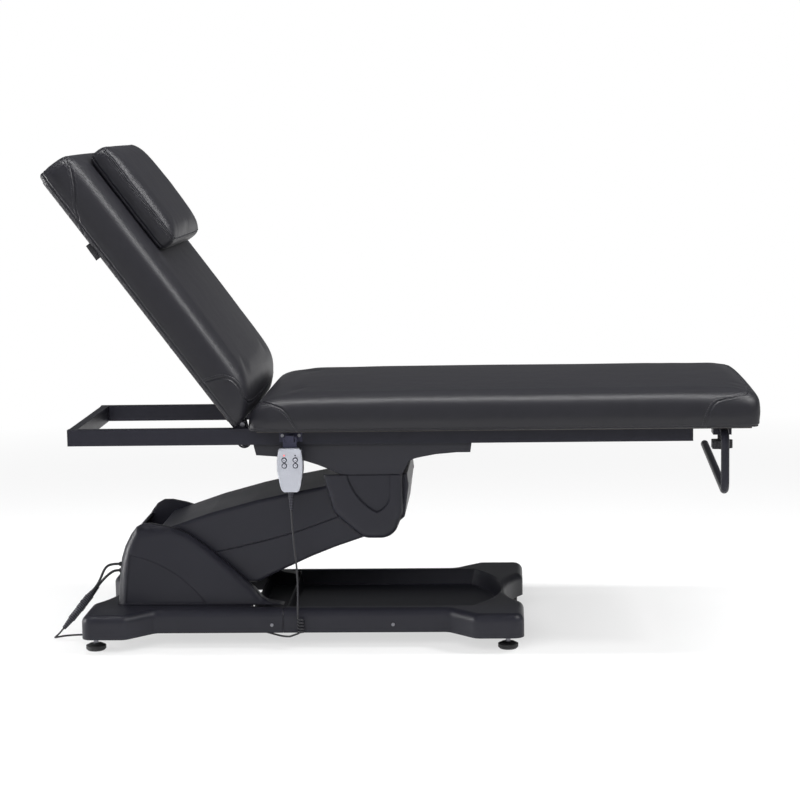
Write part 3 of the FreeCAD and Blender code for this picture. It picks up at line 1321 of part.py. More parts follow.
def hub_dish(side):
    """A dished panel in a cheek, its rim rounded."""
    face = [(HUB_X - S.hub_back * 0.42, S.hub_high + S.hub_dish),
            (HUB_X + S.hub_ahead * 0.66, S.hub_high + S.hub_dish),
            (HUB_X + S.hub_ahead * 0.66, HUB_Z + S.hub_low * 0.3),
            (HUB_X + S.hub_ahead * 0.3, HUB_Z - S.hub_low * 0.22, S.hub_low * 0.56, -1),
            (HUB_X - S.hub_back * 0.42, S.hub_high, S.hub_back * 1.4, -1)]
    low_y = S.hub_half - S.hub_dish if side > 0 else -S.hub_half - S.hub_dish
    return plate("Dish", "XZ", [face], S.hub_dish * 2, -low_y - S.hub_dish * 2)


def hub_front():
    """The band between the cheeks, bulging ahead of them, its front edges rounded."""
    owner = new_body("HubFront")
    start, front = HUB_X + S.arm_end_radius, HUB_X + S.hub_ahead
    face = [(start, S.hub_high), (front + S.hub_band * 0.75, S.hub_high),
            (front + S.hub_band, HUB_Z + S.hub_low * 0.5), (front + S.hub_band * 0.2, HUB_Z - S.hub_low * 0.38),
            (front - S.hub_band * 0.8, HUB_Z - S.hub_low * 0.52), (start, HUB_Z - S.hub_low * 0.56)]
    pad(owner, "XZ", [face], S.hub_inside * 2, even=True)
    bulge = float(front)

    def rim(edge):
        return edge.CenterOfMass.x > bulge and edge.BoundBox.YLength < 1

    rounded(owner, S.hub_edge, rim)
    return owner


def hub_cover():
    """Hub cover: two shield-shaped cheeks joined by a band in front of the arm's round end."""
    owner = new_body("HubCover")
    pad(owner, "XZ", [hub_face()], S.hub_half * 2, even=True)
    half = float(S.hub_half)
    top = float(S.hub_high)

    def corner(edge):
        return edge.BoundBox.YLength > half and edge.CenterOfMass.z < 0.999 * top

    def rim(edge):
        return edge.BoundBox.YLength < 0.001 * half and edge.CenterOfMass.z < 0.999 * top

    rounded(owner, S.hub_round, corner)
    rounded(owner, S.hub_edge, rim)
    reach = S.arm_end_radius + S.hub_play
    room = bar_across(HUB_X, HUB_Z, reach, S.hub_inside)
    rear = block_across(HUB_X - S.hub_back * 2, HUB_Z - S.hub_low * 2, S.hub_back * 2,
                        S.hub_low * 4, S.hub_inside)
    sweep = block_across(HUB_X - S.hub_back, HUB_Z - S.hub_low * 2, S.hub_back * 3,
                         S.hub_low * 2 - reach * 0.6, S.hub_inside)
    above = block_across(HUB_X - S.hub_back, HUB_Z + S.hub_low * HUB_OPEN_SHARE,
                         S.hub_back + S.hub_ahead - S.arm_wall * 2, S.hub_low, S.hub_inside)
    shell = cut(union([owner, hub_front()]), [room, rear, sweep, above, hub_dish(-1), hub_dish(1)]
                + hub_screw_bars())
    kept(shell, "hub_cover")


WING_BACK_SHARES = ((0.8, 0.93), (0.668, 0.86), (0.59, 0.79), (0.523, 0.69), (0.42, 0.51), (0.325, 0.3),
                    (0.24, 0.08), (0.18, 0))
WING_AHEAD_SHARES = ((0.35, 0), (0.383, 0.3), (0.42, 0.65), (0.465, 0.77), (0.522, 0.84), (0.67, 0.98),
                     (0.863, 1.06))


WING_KEEL_SHARES = ((0.35, 0), (0.383, 0.3), (0.41, 0.52), (0.575, 0.68), (0.62, 0.85), (0.67, 0.98))


def wing_line(shares, inset):
    """Points of the wing's underside ahead of the hub."""
    fall = RAIL_LOW - S.wing_end - S.hub_high
    return [(HUB_X + S.wing_ahead * across - inset * 0.5, S.hub_high + inset + fall * up)
            for across, up in shares]


def wing_keel(inset):
    """The deeper middle of the wing below the back motor."""
    line = wing_line(WING_KEEL_SHARES, inset)
    face = [(HUB_X, RAIL_LOW), (HUB_X, S.hub_high + inset)] + line + [(line[-1][0], RAIL_LOW)]
    return plate("WingKeel", "XZ", [face], (S.wing_keel_half - inset) * 2, even=True)


def wing_profile(inset):
    """Side view of the wing cover: shallow ends that deepen to the hub."""
    top = RAIL_LOW
    low = S.hub_high + inset
    back, ahead = HUB_X - S.wing_back + inset, HUB_X + S.wing_ahead - inset
    fall = top - S.wing_end - S.hub_high
    points = [(back, top), (back + S.wing_wall * 1.5, low + fall)]
    for across, up in WING_BACK_SHARES:
        points.append((HUB_X - S.wing_back * across + inset * 0.5, low + fall * up))
    return points + wing_line(WING_AHEAD_SHARES, inset) + [(ahead - S.wing_wall, low + fall * 1.06), (ahead, top)]


def wing_block(inset):
    """The wing's sloping underside, with an upright lens-shaped face at each side."""
    top, low = RAIL_LOW, S.hub_high + inset
    wide, foot = S.wing_half - inset, S.wing_slope_half - inset
    body = plate("WingBody", "XZ", [wing_profile(inset)], wide * 2, even=True)
    slope = [(-foot, low), (foot, low), (wide, top - S.wing_end * 0.3), (wide, top),
             (-wide, top), (-wide, top - S.wing_end * 0.3)]
    wedge = plate("WingSlope", "YZ", [slope], S.wing_back + S.wing_ahead, HUB_X - S.wing_back)
    return union([common(body, wedge), wing_keel(inset)])


def wing_cover():
    outer = wing_block(sized(0))
    inner = wing_block(S.wing_wall)
    notch = block_across(HUB_X - S.wing_back * 0.34, S.hub_high - S.wing_wall,
                         S.wing_back * 0.34 + S.wing_ahead * 0.35, S.wing_wall * 3,
                         S.fork_half + S.fork_plate + S.side_clearance)
    slot = block_across(HUB_X - S.wing_back - S.wing_wall, RAIL_LOW - S.wing_end * 2,
                        S.wing_slot, S.wing_end * 3, S.wing_slot_half)
    kept(cut(outer, [inner, notch, slot]), "wing_cover")


def hub_screw_bars():
    """Screw heads half sunk in the hub's front band."""
    front = HUB_X + S.hub_ahead + S.hub_band - S.screw_height / 2
    return [bar((front, S.hub_inside * 0.8 * side, HUB_Z + S.hub_low * 0.5), S.screw_radius,
                S.screw_height, "x") for side in (-1, 1)]


def hub_screws():
    kept(together(hub_screw_bars()), "hub_screws")


# Back motor

def back_line():
    """Length and tilt of the back motor's line with the back at rest."""
    eye_x = HINGE_X - S.crank_length * sine(S.crank_lean)
    eye_z = HINGE_Z - S.crank_length * cosine(S.crank_lean) + S.back_line_rise
    x = HUB_X + S.back_pin_ahead - eye_x
    z = eye_z - S.back_pin_height
    length = Size(math.hypot(x.value, z.value), f"sqrt({x.formula}^2 + {z.formula}^2)")
    angle = Size(math.degrees(math.atan2(z.value, x.value)), f"(atan({z.formula} / {x.formula}) / 1 deg)")
    return length, angle


def back_drive():
    """The back motor points to the rear, so it is turned half round from the x axis."""
    length, angle = back_line()
    pin_x = HUB_X + S.back_pin_ahead
    motor = back_motor_shape()
    kept(place(motor, pin_x, 0, S.back_pin_height, angle - 180), "back_motor")
    start = S.gear_length + S.rod_radius * 6
    radius = S.pin_radius + S.rod_eye_wall
    shaft = bar((start, 0, 0), S.rod_radius, length - start - radius / 2, "x")
    eye = bar_across(length, 0, radius, S.rod_eye_half)
    pin = bar_across(length, 0, S.pin_radius, S.rod_eye_half + S.side_clearance + S.lug_thickness)
    kept(place(union([shaft, eye, pin]), pin_x, 0, S.back_pin_height, angle - 180), "back_rod")


def back_motor_shape():
    """A flat motor: its electric motor lies beside the rod line."""
    eye = bar_across(0, 0, S.motor_eye_radius, S.motor_eye_half)
    neck = block_across(0, -S.motor_eye_radius * 0.9, S.motor_eye_radius * 2,
                        S.motor_eye_radius * 1.8, S.motor_eye_half)
    start = S.motor_eye_radius + S.side_clearance * 2
    case = block(start, -S.gear_half, -S.gear_drop, S.gear_length - start,
                 S.motor_offset + S.gear_half * 2, S.gear_drop * 1.9)
    motor = bar((S.gear_length, S.motor_offset, 0), S.motor_radius, S.motor_length, "x")
    tube = bar((S.gear_length, 0, 0), S.back_tube_radius, S.back_tube_length, "x")
    bore = bar((S.gear_length, 0, 0), S.rod_radius + S.rod_clearance, S.back_tube_length, "x")
    pin = bar_across(0, 0, S.pin_radius + S.turning_clearance, S.motor_eye_half)
    return cut(union([eye, neck, case, motor, tube]), [bore, pin])


# Handset

def handset_outline(grow):
    """Front view of the handset: square shoulders, a slight waist and a round foot."""
    top, width, height = S.handset_high, S.handset_width, S.handset_height
    middle = -S.handset_back
    points = []
    for across, down in HANDSET_SHARES:
        points.append((middle + width * across / 2 + grow * across, top - height * down))
    for across, down in reversed(HANDSET_SHARES):
        points.append((middle - width * across / 2 - grow * across, top - height * down))
    return points


HANDSET_SHARES = ((0.72, 0), (0.88, 0.04), (0.92, 0.12), (1, 0.32), (1, 0.5), (0.93, 0.64), (0.8, 0.85),
                  (0.68, 0.96), (0.5, 1))


def button_places():
    """Centres of the four buttons in front view, by label."""
    middle, low = -S.handset_back, S.handset_high - S.button_drop
    half = S.button_across / 2
    return (("back_up_button", middle - half, low + S.button_up),
            ("bed_up_button", middle + half, low + S.button_up),
            ("back_down_button", middle - half, low),
            ("bed_down_button", middle + half, low))


def light_places():
    half = S.button_across / 2
    level = S.handset_high - S.light_drop
    return ((-S.handset_back - half, level), (-S.handset_back + half, level))


def handset():
    """Two shells that meet behind the pale face, with wells for the buttons."""
    face = -S.handset_face
    split = face + S.handset_shell
    front = new_body("HandsetFront")
    pad(front, "XZ", [handset_outline(sized(0))], S.handset_shell, -split)
    level = float(face)
    rounded(front, S.handset_edge, lambda edge: edge.BoundBox.YMax < level + 0.001 * abs(level))
    wells = [(x, z, S.button_radius + S.button_clearance) for label, x, z in button_places()]
    pocket(front, "XZ", wells, S.button_depth, -face)
    lights = [(x, z, S.light_radius) for x, z in light_places()]
    pocket(front, "XZ", lights, S.button_depth / 2, -face)
    kept(front, "handset_front")
    back = new_body("HandsetBack")
    depth = S.handset_depth - S.handset_shell
    pad(back, "XZ", [handset_outline(S.handset_edge / 3)], depth, -split - depth)
    far = float(split + depth)
    rounded(back, S.handset_edge * 2, lambda edge: edge.BoundBox.YMin > far - 0.001 * abs(far))
    kept(back, "handset_back")
    for label, x, z in button_places():
        start = face + S.button_depth - S.button_depth * 0.6
        key = bar((x, face - S.button_rise, z), S.button_radius,
                  start - face + S.button_rise, "y")
        kept(key, label)
    lamps = [bar((x, face - S.button_rise / 6, z), S.light_radius,
                 S.button_depth / 2 + S.button_rise / 6, "y") for x, z in light_places()]
    kept(together(lamps), "handset_lights")


def handset_holder():
    """Hook on the handset's back, its bracket on the rail, the screws and the strain relief."""
    middle = -S.handset_back
    rail_face = -S.deck_width / 2
    plate_low = RAIL_LOW + (S.rail_height - S.bracket_height) / 2
    base = block(middle - S.bracket_width / 2, rail_face - S.bracket_thickness, plate_low,
                 S.bracket_width, S.bracket_thickness, S.bracket_height)
    hook_y = -S.handset_face + S.handset_depth / 2
    tongue_z = plate_low + S.bracket_height * 0.3
    tongue = block(middle - S.hook_width * 0.3, hook_y + S.hook_thickness + S.side_clearance / 3,
                   tongue_z, S.hook_width * 0.6, rail_face - S.bracket_thickness - hook_y
                   - S.hook_thickness - S.side_clearance / 3, S.hook_thickness)
    lip = block(middle - S.hook_width * 0.3, hook_y - S.hook_thickness - S.side_clearance / 3,
                tongue_z - S.hook_thickness, S.hook_width * 0.6, S.hook_thickness,
                S.bracket_height * 0.6)
    floor = block(middle - S.hook_width * 0.3, hook_y - S.hook_thickness - S.side_clearance / 3,
                  tongue_z - S.hook_thickness, S.hook_width * 0.6,
                  rail_face - S.bracket_thickness - hook_y + S.hook_thickness
                  + S.side_clearance / 3, S.hook_thickness)
    kept(union([base, tongue, lip, floor]), "handset_bracket")
    stem = block(middle - S.hook_width / 2, hook_y, S.handset_high, S.hook_width,
                 S.hook_thickness, tongue_z + S.hook_thickness * 2 - S.handset_high)
    eye = block(middle - S.hook_width * 0.34, hook_y, tongue_z - S.hook_thickness - S.side_clearance / 3,
                S.hook_width * 0.68, S.hook_thickness, S.hook_thickness * 2 + S.side_clearance / 3)
    kept(cut(stem, [eye]), "handset_hook")
    heads = [bar((middle + S.bracket_width * share, rail_face - S.bracket_thickness - S.screw_height,
                  plate_low + S.bracket_height * 0.6), S.screw_radius, S.screw_height, "y")
             for share in (-0.36, 0.36)]
    kept(together(heads), "bracket_screws")
    relief = cone((middle, hook_y, S.handset_high - S.handset_height), S.relief_wide,
                  S.relief_thin, S.relief_length, "-z")
    kept(relief, "cord_relief")


# Paper roll holder

def bar_path():
    """Stub, leg and rising lower bar of the roll holder, with round bends."""
    x, bend = float(BAR_X), float(S.bar_bend)
    top = float(S.deck_height - S.bar_gap)
    side, leg = -float(S.bar_leg_side), float(S.bar_leg)
    corners = [Vector(x, side + float(S.bar_stub), top), Vector(x, side, top),
               Vector(x, side, top - leg),
               Vector(x, side + float(S.bar_reach), top - leg + float(S.bar_lift))]
    edges = []
    start = corners[0]
    for before, corner, after in zip(corners, corners[1:], corners[2:]):
        back, ahead = (before - corner).normalize(), (after - corner).normalize()
        half = back.getAngle(ahead) / 2
        reach = bend / math.tan(half)
        middle = (back + ahead).normalize() * (bend / math.sin(half) - bend)
        first, last = corner + back * reach, corner + ahead * reach
        edges.append(Part.LineSegment(start, first).toShape())
        edges.append(Part.Arc(first, corner + middle, last).toShape())
        start = last
    edges.append(Part.LineSegment(start, corners[-1]).toShape())
    return Part.Wire(edges), corners


def round_profile(path, radius):
    """A circle square to the start of a path."""
    edge = path.OrderedEdges[0]
    start = edge.valueAt(edge.FirstParameter)
    along = edge.tangentAt(edge.FirstParameter)
    return Part.Wire([Part.Circle(start, along, radius).toShape()])


def swept(path, radius):
    """A round tube or cord along a path."""
    return path.makePipeShell([round_profile(path, radius)], True, False)


def roll_holder():
    path, corners = bar_path()
    tube = swept(path, float(S.bar_radius))
    tip = Part.makeSphere(float(S.bar_radius), corners[-1])
    kept(solid_of(tube, "RollBar"), "paper_roll_bar")
    direction = (corners[3] - corners[2]).normalize()
    collar = Part.makeCylinder(float(S.bar_radius), float(S.bar_radius) * 0.1, corners[-1], direction)
    dome = tip.common(Part.makeCylinder(float(S.bar_radius) * 2, float(S.bar_radius) * 2,
                                        corners[-1], direction))
    kept(solid_of(dome.fuse(collar).removeSplitter(), "BarTip"), "bar_end_cap")
    x, top = BAR_X, S.deck_height - S.bar_gap
    start_y = -S.bar_leg_side + S.clamp_from_leg
    low = top - S.bar_radius - S.clamp_wall
    block_x = x - S.clamp_length / 2
    body = block(block_x, start_y, low, S.clamp_length, S.clamp_width, S.deck_height - low)
    bore = bar((x, start_y, top), S.bar_radius + S.clamp_clearance, S.clamp_width, "y")
    screw_hole = bar((x, start_y + S.clamp_width / 2, low), S.knob_screw + S.turning_clearance,
                     S.clamp_wall + S.bar_radius / 2, "z")
    kept(cut(body, [bore, screw_hole]), "holder_clamp")
    knob_top = low - S.knob_gap
    middle = (x, start_y + S.clamp_width / 2)
    grip = bar(middle + (knob_top - S.knob_height,), S.knob_radius * 0.8, S.knob_height, "z")
    pieces = [grip]
    lobes = 5
    for number in range(lobes):
        angle = Size(number * 360 / lobes, f"{number} * 360 / {lobes}")
        reach = S.knob_radius * 0.7
        pieces.append(bar((middle[0] + reach * cosine(angle), middle[1] + reach * sine(angle),
                           knob_top - S.knob_height), S.knob_radius * 0.3, S.knob_height, "z"))
    collar = bar(middle + (knob_top,), S.knob_radius * 0.35, S.knob_gap * 0.8, "z")
    screw = bar(middle + (knob_top,), S.knob_screw, S.knob_gap + S.clamp_wall - S.side_clearance / 5, "z")
    kept(union(pieces + [collar, screw]), "clamp_knob")


# Cords

UPPER_CORD = ((-272.5, -255.5, 346), (-271, -256, 302), (-267, -258, 249), (-262, -260.5, 202),
              (-260.6, -262, 158), (-261.6, -262, 120), (-262, -262, 88))
FLOOR_CORD = ((-283, -258, 33), (-300, -246, 30), (-328, -214, 29), (-356, -184, 28.5),
              (-384, -150, 27), (-408, -118, 24), (-430, -84, 18), (-452, -50, 10), (-478, -18, 4),
              (-510, 4, 2.6), (-550, 14, 2.6), (-595, 8, 2.6), (-640, -14, 2.6), (-685, -46, 2.6),
              (-732, -78, 2.6), (-780, -97, 2.6), (-820, -105, 2.6), (-846, -109, 2.6),
              (-866, -116, 2.6), (-880, -127, 2.6), (-886, -141, 4), (-882, -149, 8),
              (-871, -151, 18), (-860, -151, 31))
LEAD_A = ((-714.8, -150.4, 193.1), (-729, -150.4, 193.1), (-743, -152, 190), (-752, -154, 181),
          (-758, -158, 168), (-763.5, -161.5, 154), (-771, -165, 141), (-781, -169, 128))
LEAD_B = ((-714.8, -150.4, 177), (-726, -150.4, 177), (-738, -150.2, 170.5),
          (-749.5, -150, 161), (-759.9, -149.9, 150.3), (-771, -150, 137))


def cord_path(points, name):
    """Straight runs joined by tangent arcs, as large as each pair of runs allows."""
    route = [Vector(*point) for point in points]
    edges, radii = [], []
    start = route[0]
    for before, corner, after in zip(route, route[1:], route[2:]):
        back, ahead = before - corner, after - corner
        reach = 0.45 * min(back.Length, ahead.Length)
        back.normalize()
        ahead.normalize()
        half = back.getAngle(ahead) / 2
        radius = reach * math.tan(half)
        radii.append(radius)
        inward = (back + ahead).normalize() * (radius / math.sin(half) - radius)
        first, last = corner + back * reach, corner + ahead * reach
        edges.append(Part.LineSegment(start, first).toShape())
        edges.append(Part.Arc(first, corner + inward, last).toShape())
        start = last
    edges.append(Part.LineSegment(start, route[-1]).toShape())
    path = Part.Wire(edges)
    print(name, "radii", [round(radius) for radius in radii], "length", round(path.Length))
    return path


def cord(points, radius, label):
    path = cord_path(points, label)
    shape = swept(path, radius)
    share = shape.Volume / (math.pi * radius ** 2 * path.Length)
    print(label, "volume share", round(share, 4))
    kept(solid_of(shape, label), label)


def biarc(start, along, end, onward):
    """Two tangent arcs from a point and direction to another."""
    gap, both = end - start, along + onward
    square = 2 * (1 - along.dot(onward))
    reach = (math.sqrt(gap.dot(both) ** 2 + square * gap.dot(gap)) - gap.dot(both)) / square
    first, second = start + along * reach, end - onward * reach
    middle = (first + second) / 2
    return [corner_arc(start, first, middle), corner_arc(middle, second, end)]


def corner_arc(start, corner, end):
    """The arc from start to end whose tangents meet at the corner."""
    chord_middle = (start + end) / 2
    rise = corner - chord_middle
    half_chord = (end - start).Length / 2
    bow = half_chord * math.tan(math.atan2(rise.Length, half_chord) / 2)
    return Part.Arc(start, chord_middle + rise.normalize() * bow, end)


def curl_nodes():
    """Points and directions of the curly cord, a quarter turn apart."""
    radius, pitch = float(S.curl_radius), float(S.curl_pitch)
    top = Vector(*UPPER_CORD[-1])
    centre = Vector(top.x + radius, top.y, top.z)
    nodes = [(top, Vector(0, 0, -1))]
    quarter = math.pi / 2
    lead_in = pitch * 1.2
    for step in range(1, round(float(S.curl_turns) * 4) + 1):
        angle = math.pi + step * quarter
        point = Vector(centre.x + radius * math.cos(angle), centre.y + radius * math.sin(angle),
                       centre.z - lead_in - step * pitch / 4)
        along = Vector(-radius * math.sin(angle), radius * math.cos(angle), -pitch / math.tau)
        nodes.append((point, along.normalize()))
    last = Vector(*FLOOR_CORD[0])
    nodes.append((last, (Vector(*FLOOR_CORD[1]) - last).normalize()))
    return nodes


def curly_cord():
    nodes = curl_nodes()
    edges = []
    for (start, along), (end, onward) in zip(nodes, nodes[1:]):
        edges += [arc.toShape() for arc in biarc(start, along, end, onward)]
    path = Part.Wire(edges)
    radius = float(S.cord_radius)
    points = [edge.valueAt(edge.FirstParameter + (edge.LastParameter - edge.FirstParameter) * k / 6)
              for edge in edges for k in range(6)]
    far = [(a - b).Length for i, a in enumerate(points) for b in points[i + 20:]]
    print("curl length", round(path.Length), "least self gap", round(min(far) - 2 * radius, 2))
    kept(solid_of(swept(path, radius), "Curl"), "handset_cord_curl")


def connector(route, length, label):
    """An inline connector on the end of a cord: a ribbed body between tapered boots."""
    start = Vector(*route[-1])
    along = (start - Vector(*route[-2])).normalize()
    thick, thin = float(S.connector_radius), float(S.connector_boot)
    boot = length * 0.22
    end = start + along * length
    first = Part.makeCone(thin, thick * 0.85, boot, start, along)
    body = Part.makeCylinder(thick, length - boot * 2, start + along * boot, along)
    waist = Part.makeCylinder(thick * 1.12, length * 0.08, start + along * length * 0.46, along)
    last = Part.makeCone(thick * 0.85, thin, boot, end - along * boot, along)
    whole = first.fuse([body, waist, last]).removeSplitter()
    kept(solid_of(whole, label), label)


def cords():
    cord(UPPER_CORD, float(S.cord_radius), "handset_cord_upper")
    curly_cord()
    cord(FLOOR_CORD, float(S.cord_radius), "handset_cord_floor")
    cord(LEAD_A, float(S.lead_radius), "lead_a")
    cord(LEAD_B, float(S.lead_radius), "lead_b")
    connector(LEAD_A, float(S.connector_length), "connector_a")
    gap = Vector(*LEAD_B[-1]) - Vector(*FLOOR_CORD[-1])
    connector(LEAD_B, gap.Length, "connector_b")


def build():
    rails()
    rail_caps()
    cross_tubes()
    hinge_ears()
    hinge_pins()
    seat()
    backrest()
    backrest_frame()
    pillow()
    base_rear_cover()
    base_front_cover()
    feet()
    base_frame()
    base_pins()
    lift_housing()
    housing_fittings()
    arm_frame()
    arm_covers()
    level_link()
    lift_drive()
    carrier_frame()
    carrier_pins()
    hub_cover()
    hub_screws()
    wing_cover()
    back_drive()
    handset()
    handset_holder()
    roll_holder()
    cords()


def check_and_write():
    """Writes each sub-part's file once nothing in the document has failed."""
    document.recompute()
    for thing in document.Objects:
        if "Invalid" in thing.State or "Error" in thing.State:
            raise ValueError(f"{thing.Name} {thing.Label} has failed: {thing.State}")
    for part in PARTS:
        if part.Shape.isNull() or not part.Shape.isValid():
            raise ValueError(f"{part.Label} has no valid shape")
        if not part.Shape.Solids:
            raise ValueError(f"{part.Label} has no solid")
    os.makedirs("parts", exist_ok=True)
    for part in PARTS:
        part.Shape.exportStep(f"parts/{part.Label}.step")
    print(len(PARTS), "sub-parts")


build()
check_and_write()
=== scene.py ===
"""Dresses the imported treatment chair: cushions, cords, handset, fittings, finishes, stage and camera."""

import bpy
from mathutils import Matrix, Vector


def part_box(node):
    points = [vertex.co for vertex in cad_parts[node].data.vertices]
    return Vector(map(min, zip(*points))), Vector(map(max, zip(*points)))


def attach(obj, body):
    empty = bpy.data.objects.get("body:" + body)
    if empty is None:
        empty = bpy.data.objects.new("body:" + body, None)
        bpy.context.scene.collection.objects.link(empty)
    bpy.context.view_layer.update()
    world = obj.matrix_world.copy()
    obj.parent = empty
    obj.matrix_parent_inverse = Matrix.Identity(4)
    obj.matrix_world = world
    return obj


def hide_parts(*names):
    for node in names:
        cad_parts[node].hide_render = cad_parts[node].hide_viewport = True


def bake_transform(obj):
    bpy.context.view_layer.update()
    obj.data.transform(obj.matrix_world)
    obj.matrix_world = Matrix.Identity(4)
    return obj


bl_info = {
    "name": "Treatment Chair Dressing",
    "version": (1, 0, 0),
    "blender": (4, 5, 0),
    "location": "View3D > Sidebar > Chair",
    "description": "Upholstery, cords, small fittings and finishes of a two-motor treatment chair",
    "category": "Object",
}

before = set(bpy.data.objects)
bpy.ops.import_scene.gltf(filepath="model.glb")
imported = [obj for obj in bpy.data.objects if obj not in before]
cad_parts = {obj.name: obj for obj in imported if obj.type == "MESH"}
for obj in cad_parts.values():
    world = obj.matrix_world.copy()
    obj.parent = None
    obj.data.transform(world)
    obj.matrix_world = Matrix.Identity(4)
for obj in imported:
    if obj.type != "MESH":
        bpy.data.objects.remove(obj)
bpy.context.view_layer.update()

import math

import bmesh
import bpy
import numpy as np
from bpy.props import FloatProperty, FloatVectorProperty, IntProperty, PointerProperty
from mathutils import Matrix, Vector, kdtree
from mathutils.bvhtree import BVHTree

# The back leans at rest: the way up along it, the way out of its face, and its hinge.
BACK_ALONG = Vector((-0.59482, 0.0, 0.80386))
BACK_FRONT = Vector((0.80386, 0.0, 0.59482))
BACK_HINGE = Vector((-0.393, 0.0, 0.546))
# How far the back tips forward from rest, and how far its cushion and the seat's may press together.
BACK_UPRIGHT = math.radians(21.5)
PADS_PRESS = 0.007

# Routes of the cords in metres, as the frame has them.
UPPER_CORD = (
    (-0.2725, -0.2555, 0.346), (-0.271, -0.256, 0.302), (-0.267, -0.258, 0.249), (-0.262, -0.2605, 0.202),
    (-0.2606, -0.262, 0.158), (-0.2616, -0.262, 0.120), (-0.262, -0.262, 0.088),
)
FLOOR_CORD = (
    (-0.283, -0.258, 0.033), (-0.300, -0.246, 0.030), (-0.328, -0.214, 0.029), (-0.356, -0.184, 0.0285),
    (-0.384, -0.150, 0.027), (-0.408, -0.118, 0.024), (-0.430, -0.084, 0.018), (-0.452, -0.050, 0.010),
    (-0.478, -0.018, 0.004), (-0.510, 0.004, 0.0026), (-0.550, 0.014, 0.0026), (-0.595, 0.008, 0.0026),
    (-0.640, -0.014, 0.0026), (-0.685, -0.046, 0.0026), (-0.732, -0.078, 0.0026), (-0.780, -0.097, 0.0026),
    (-0.820, -0.105, 0.0026), (-0.846, -0.109, 0.0026), (-0.866, -0.116, 0.0026), (-0.880, -0.127, 0.0026),
    (-0.886, -0.141, 0.004), (-0.882, -0.149, 0.008), (-0.871, -0.151, 0.018), (-0.860, -0.151, 0.031),
)
LEAD_A = (
    (-0.7148, -0.1504, 0.1931), (-0.729, -0.1504, 0.1931), (-0.743, -0.152, 0.190), (-0.752, -0.154, 0.181),
    (-0.758, -0.158, 0.168), (-0.7635, -0.1615, 0.154), (-0.771, -0.165, 0.141), (-0.781, -0.169, 0.128),
)
LEAD_B = (
    (-0.7148, -0.1504, 0.177), (-0.726, -0.1504, 0.177), (-0.738, -0.1502, 0.1705),
    (-0.7495, -0.150, 0.161), (-0.7599, -0.1499, 0.1503), (-0.771, -0.150, 0.137),
)
# Where the handset's four buttons are: the middle of them all, and each one's place from it.
BUTTON_MIDDLE = (-0.2725, 0.46185)
BUTTON_HALF = (0.0134, 0.00685)

# The curly part of the handset's cord at the base.
CURL_RADIUS = 0.0063
CURL_PITCH = 0.0076
CURL_TURNS = 5
CURL_POINTS_PER_TURN = 14

# The soft lamps: the place of each, the point that it faces, its width and height, and its watts.
LAMPS = {
    "overhead": ((0.1, -0.25, 3.1), (0.1, -0.2, 0.6), (3.4, 0.34), 110.0),
    "front": ((-0.7, -3.3, 2.0), (0.0, 0.0, 0.45), (3.0, 1.6), 105.0),
    "right": ((2.5, -0.9, 3.0), (-0.5, -0.2, 0.8), (0.45, 1.3), 80.0),
    "left": ((-2.9, 0.0, 0.7), (-0.6, -0.1, 0.3), (0.42, 1.2), 52.0),
}

# The camera as fitted to the photograph: place, turns about its axes in radians, lens in millimetres.
CAMERA_PLACE = Vector((0.2497, -5.3149, 1.2797))
CAMERA_YAW, CAMERA_PITCH, CAMERA_ROLL = 0.0504, 0.1314, -0.0167
CAMERA_LENS = 96.134


class ChairSettings(bpy.types.PropertyGroup):
    """Sizes and colours that a user would change."""

    vinyl: FloatVectorProperty(
        name="Vinyl", description="Colour of the upholstery", subtype="COLOR",
        default=(0.0088, 0.0086, 0.0115))
    moulding: FloatVectorProperty(
        name="Covers", description="Colour of the moulded covers", subtype="COLOR",
        default=(0.0125, 0.0125, 0.0175))
    coat: FloatVectorProperty(
        name="Powder coat", description="Colour of the steel frame", subtype="COLOR",
        default=(0.0135, 0.0135, 0.0195))
    shell: FloatVectorProperty(
        name="Handset", description="Colour of the handset shell", subtype="COLOR",
        default=(0.33, 0.34, 0.38))
    jacket: FloatVectorProperty(
        name="Cord jacket", description="Colour of the cords", subtype="COLOR",
        default=(0.0120, 0.0120, 0.0145))
    seat_swell: FloatProperty(
        name="Seat swell", description="Most that the seat cushion may puff out", unit="LENGTH",
        default=0.010)
    back_swell: FloatProperty(
        name="Back swell", description="Most that the back cushion may puff out", unit="LENGTH",
        default=0.009)
    pillow_swell: FloatProperty(
        name="Pillow swell", description="Most that the head pillow may puff out", unit="LENGTH",
        default=0.012)
    seam_depth: FloatProperty(
        name="Seam depth", description="How far a seam pulls the vinyl in", unit="LENGTH", default=0.0015)
    stitch_aside: FloatProperty(
        name="Stitch distance", description="Top stitching beside its seam", unit="LENGTH", default=0.0066)
    stitch_length: FloatProperty(
        name="Stitch length", description="Length of one stitch", unit="LENGTH", default=0.0034)
    stitch_pitch: FloatProperty(
        name="Stitch pitch", description="Distance between stitches", unit="LENGTH", default=0.0050)
    handset_cord: FloatProperty(
        name="Handset cord", description="Diameter of the handset cord", unit="LENGTH", default=0.0046)
    lead: FloatProperty(
        name="Lead", description="Diameter of the two motor leads", unit="LENGTH", default=0.0064)
    swell_frames: IntProperty(
        name="Swell frames", description="Frames that the cloth is blown up for", default=20, min=2)


def settings():
    return bpy.context.scene.chair_settings


# ---------------------------------------------------------------- shader maths

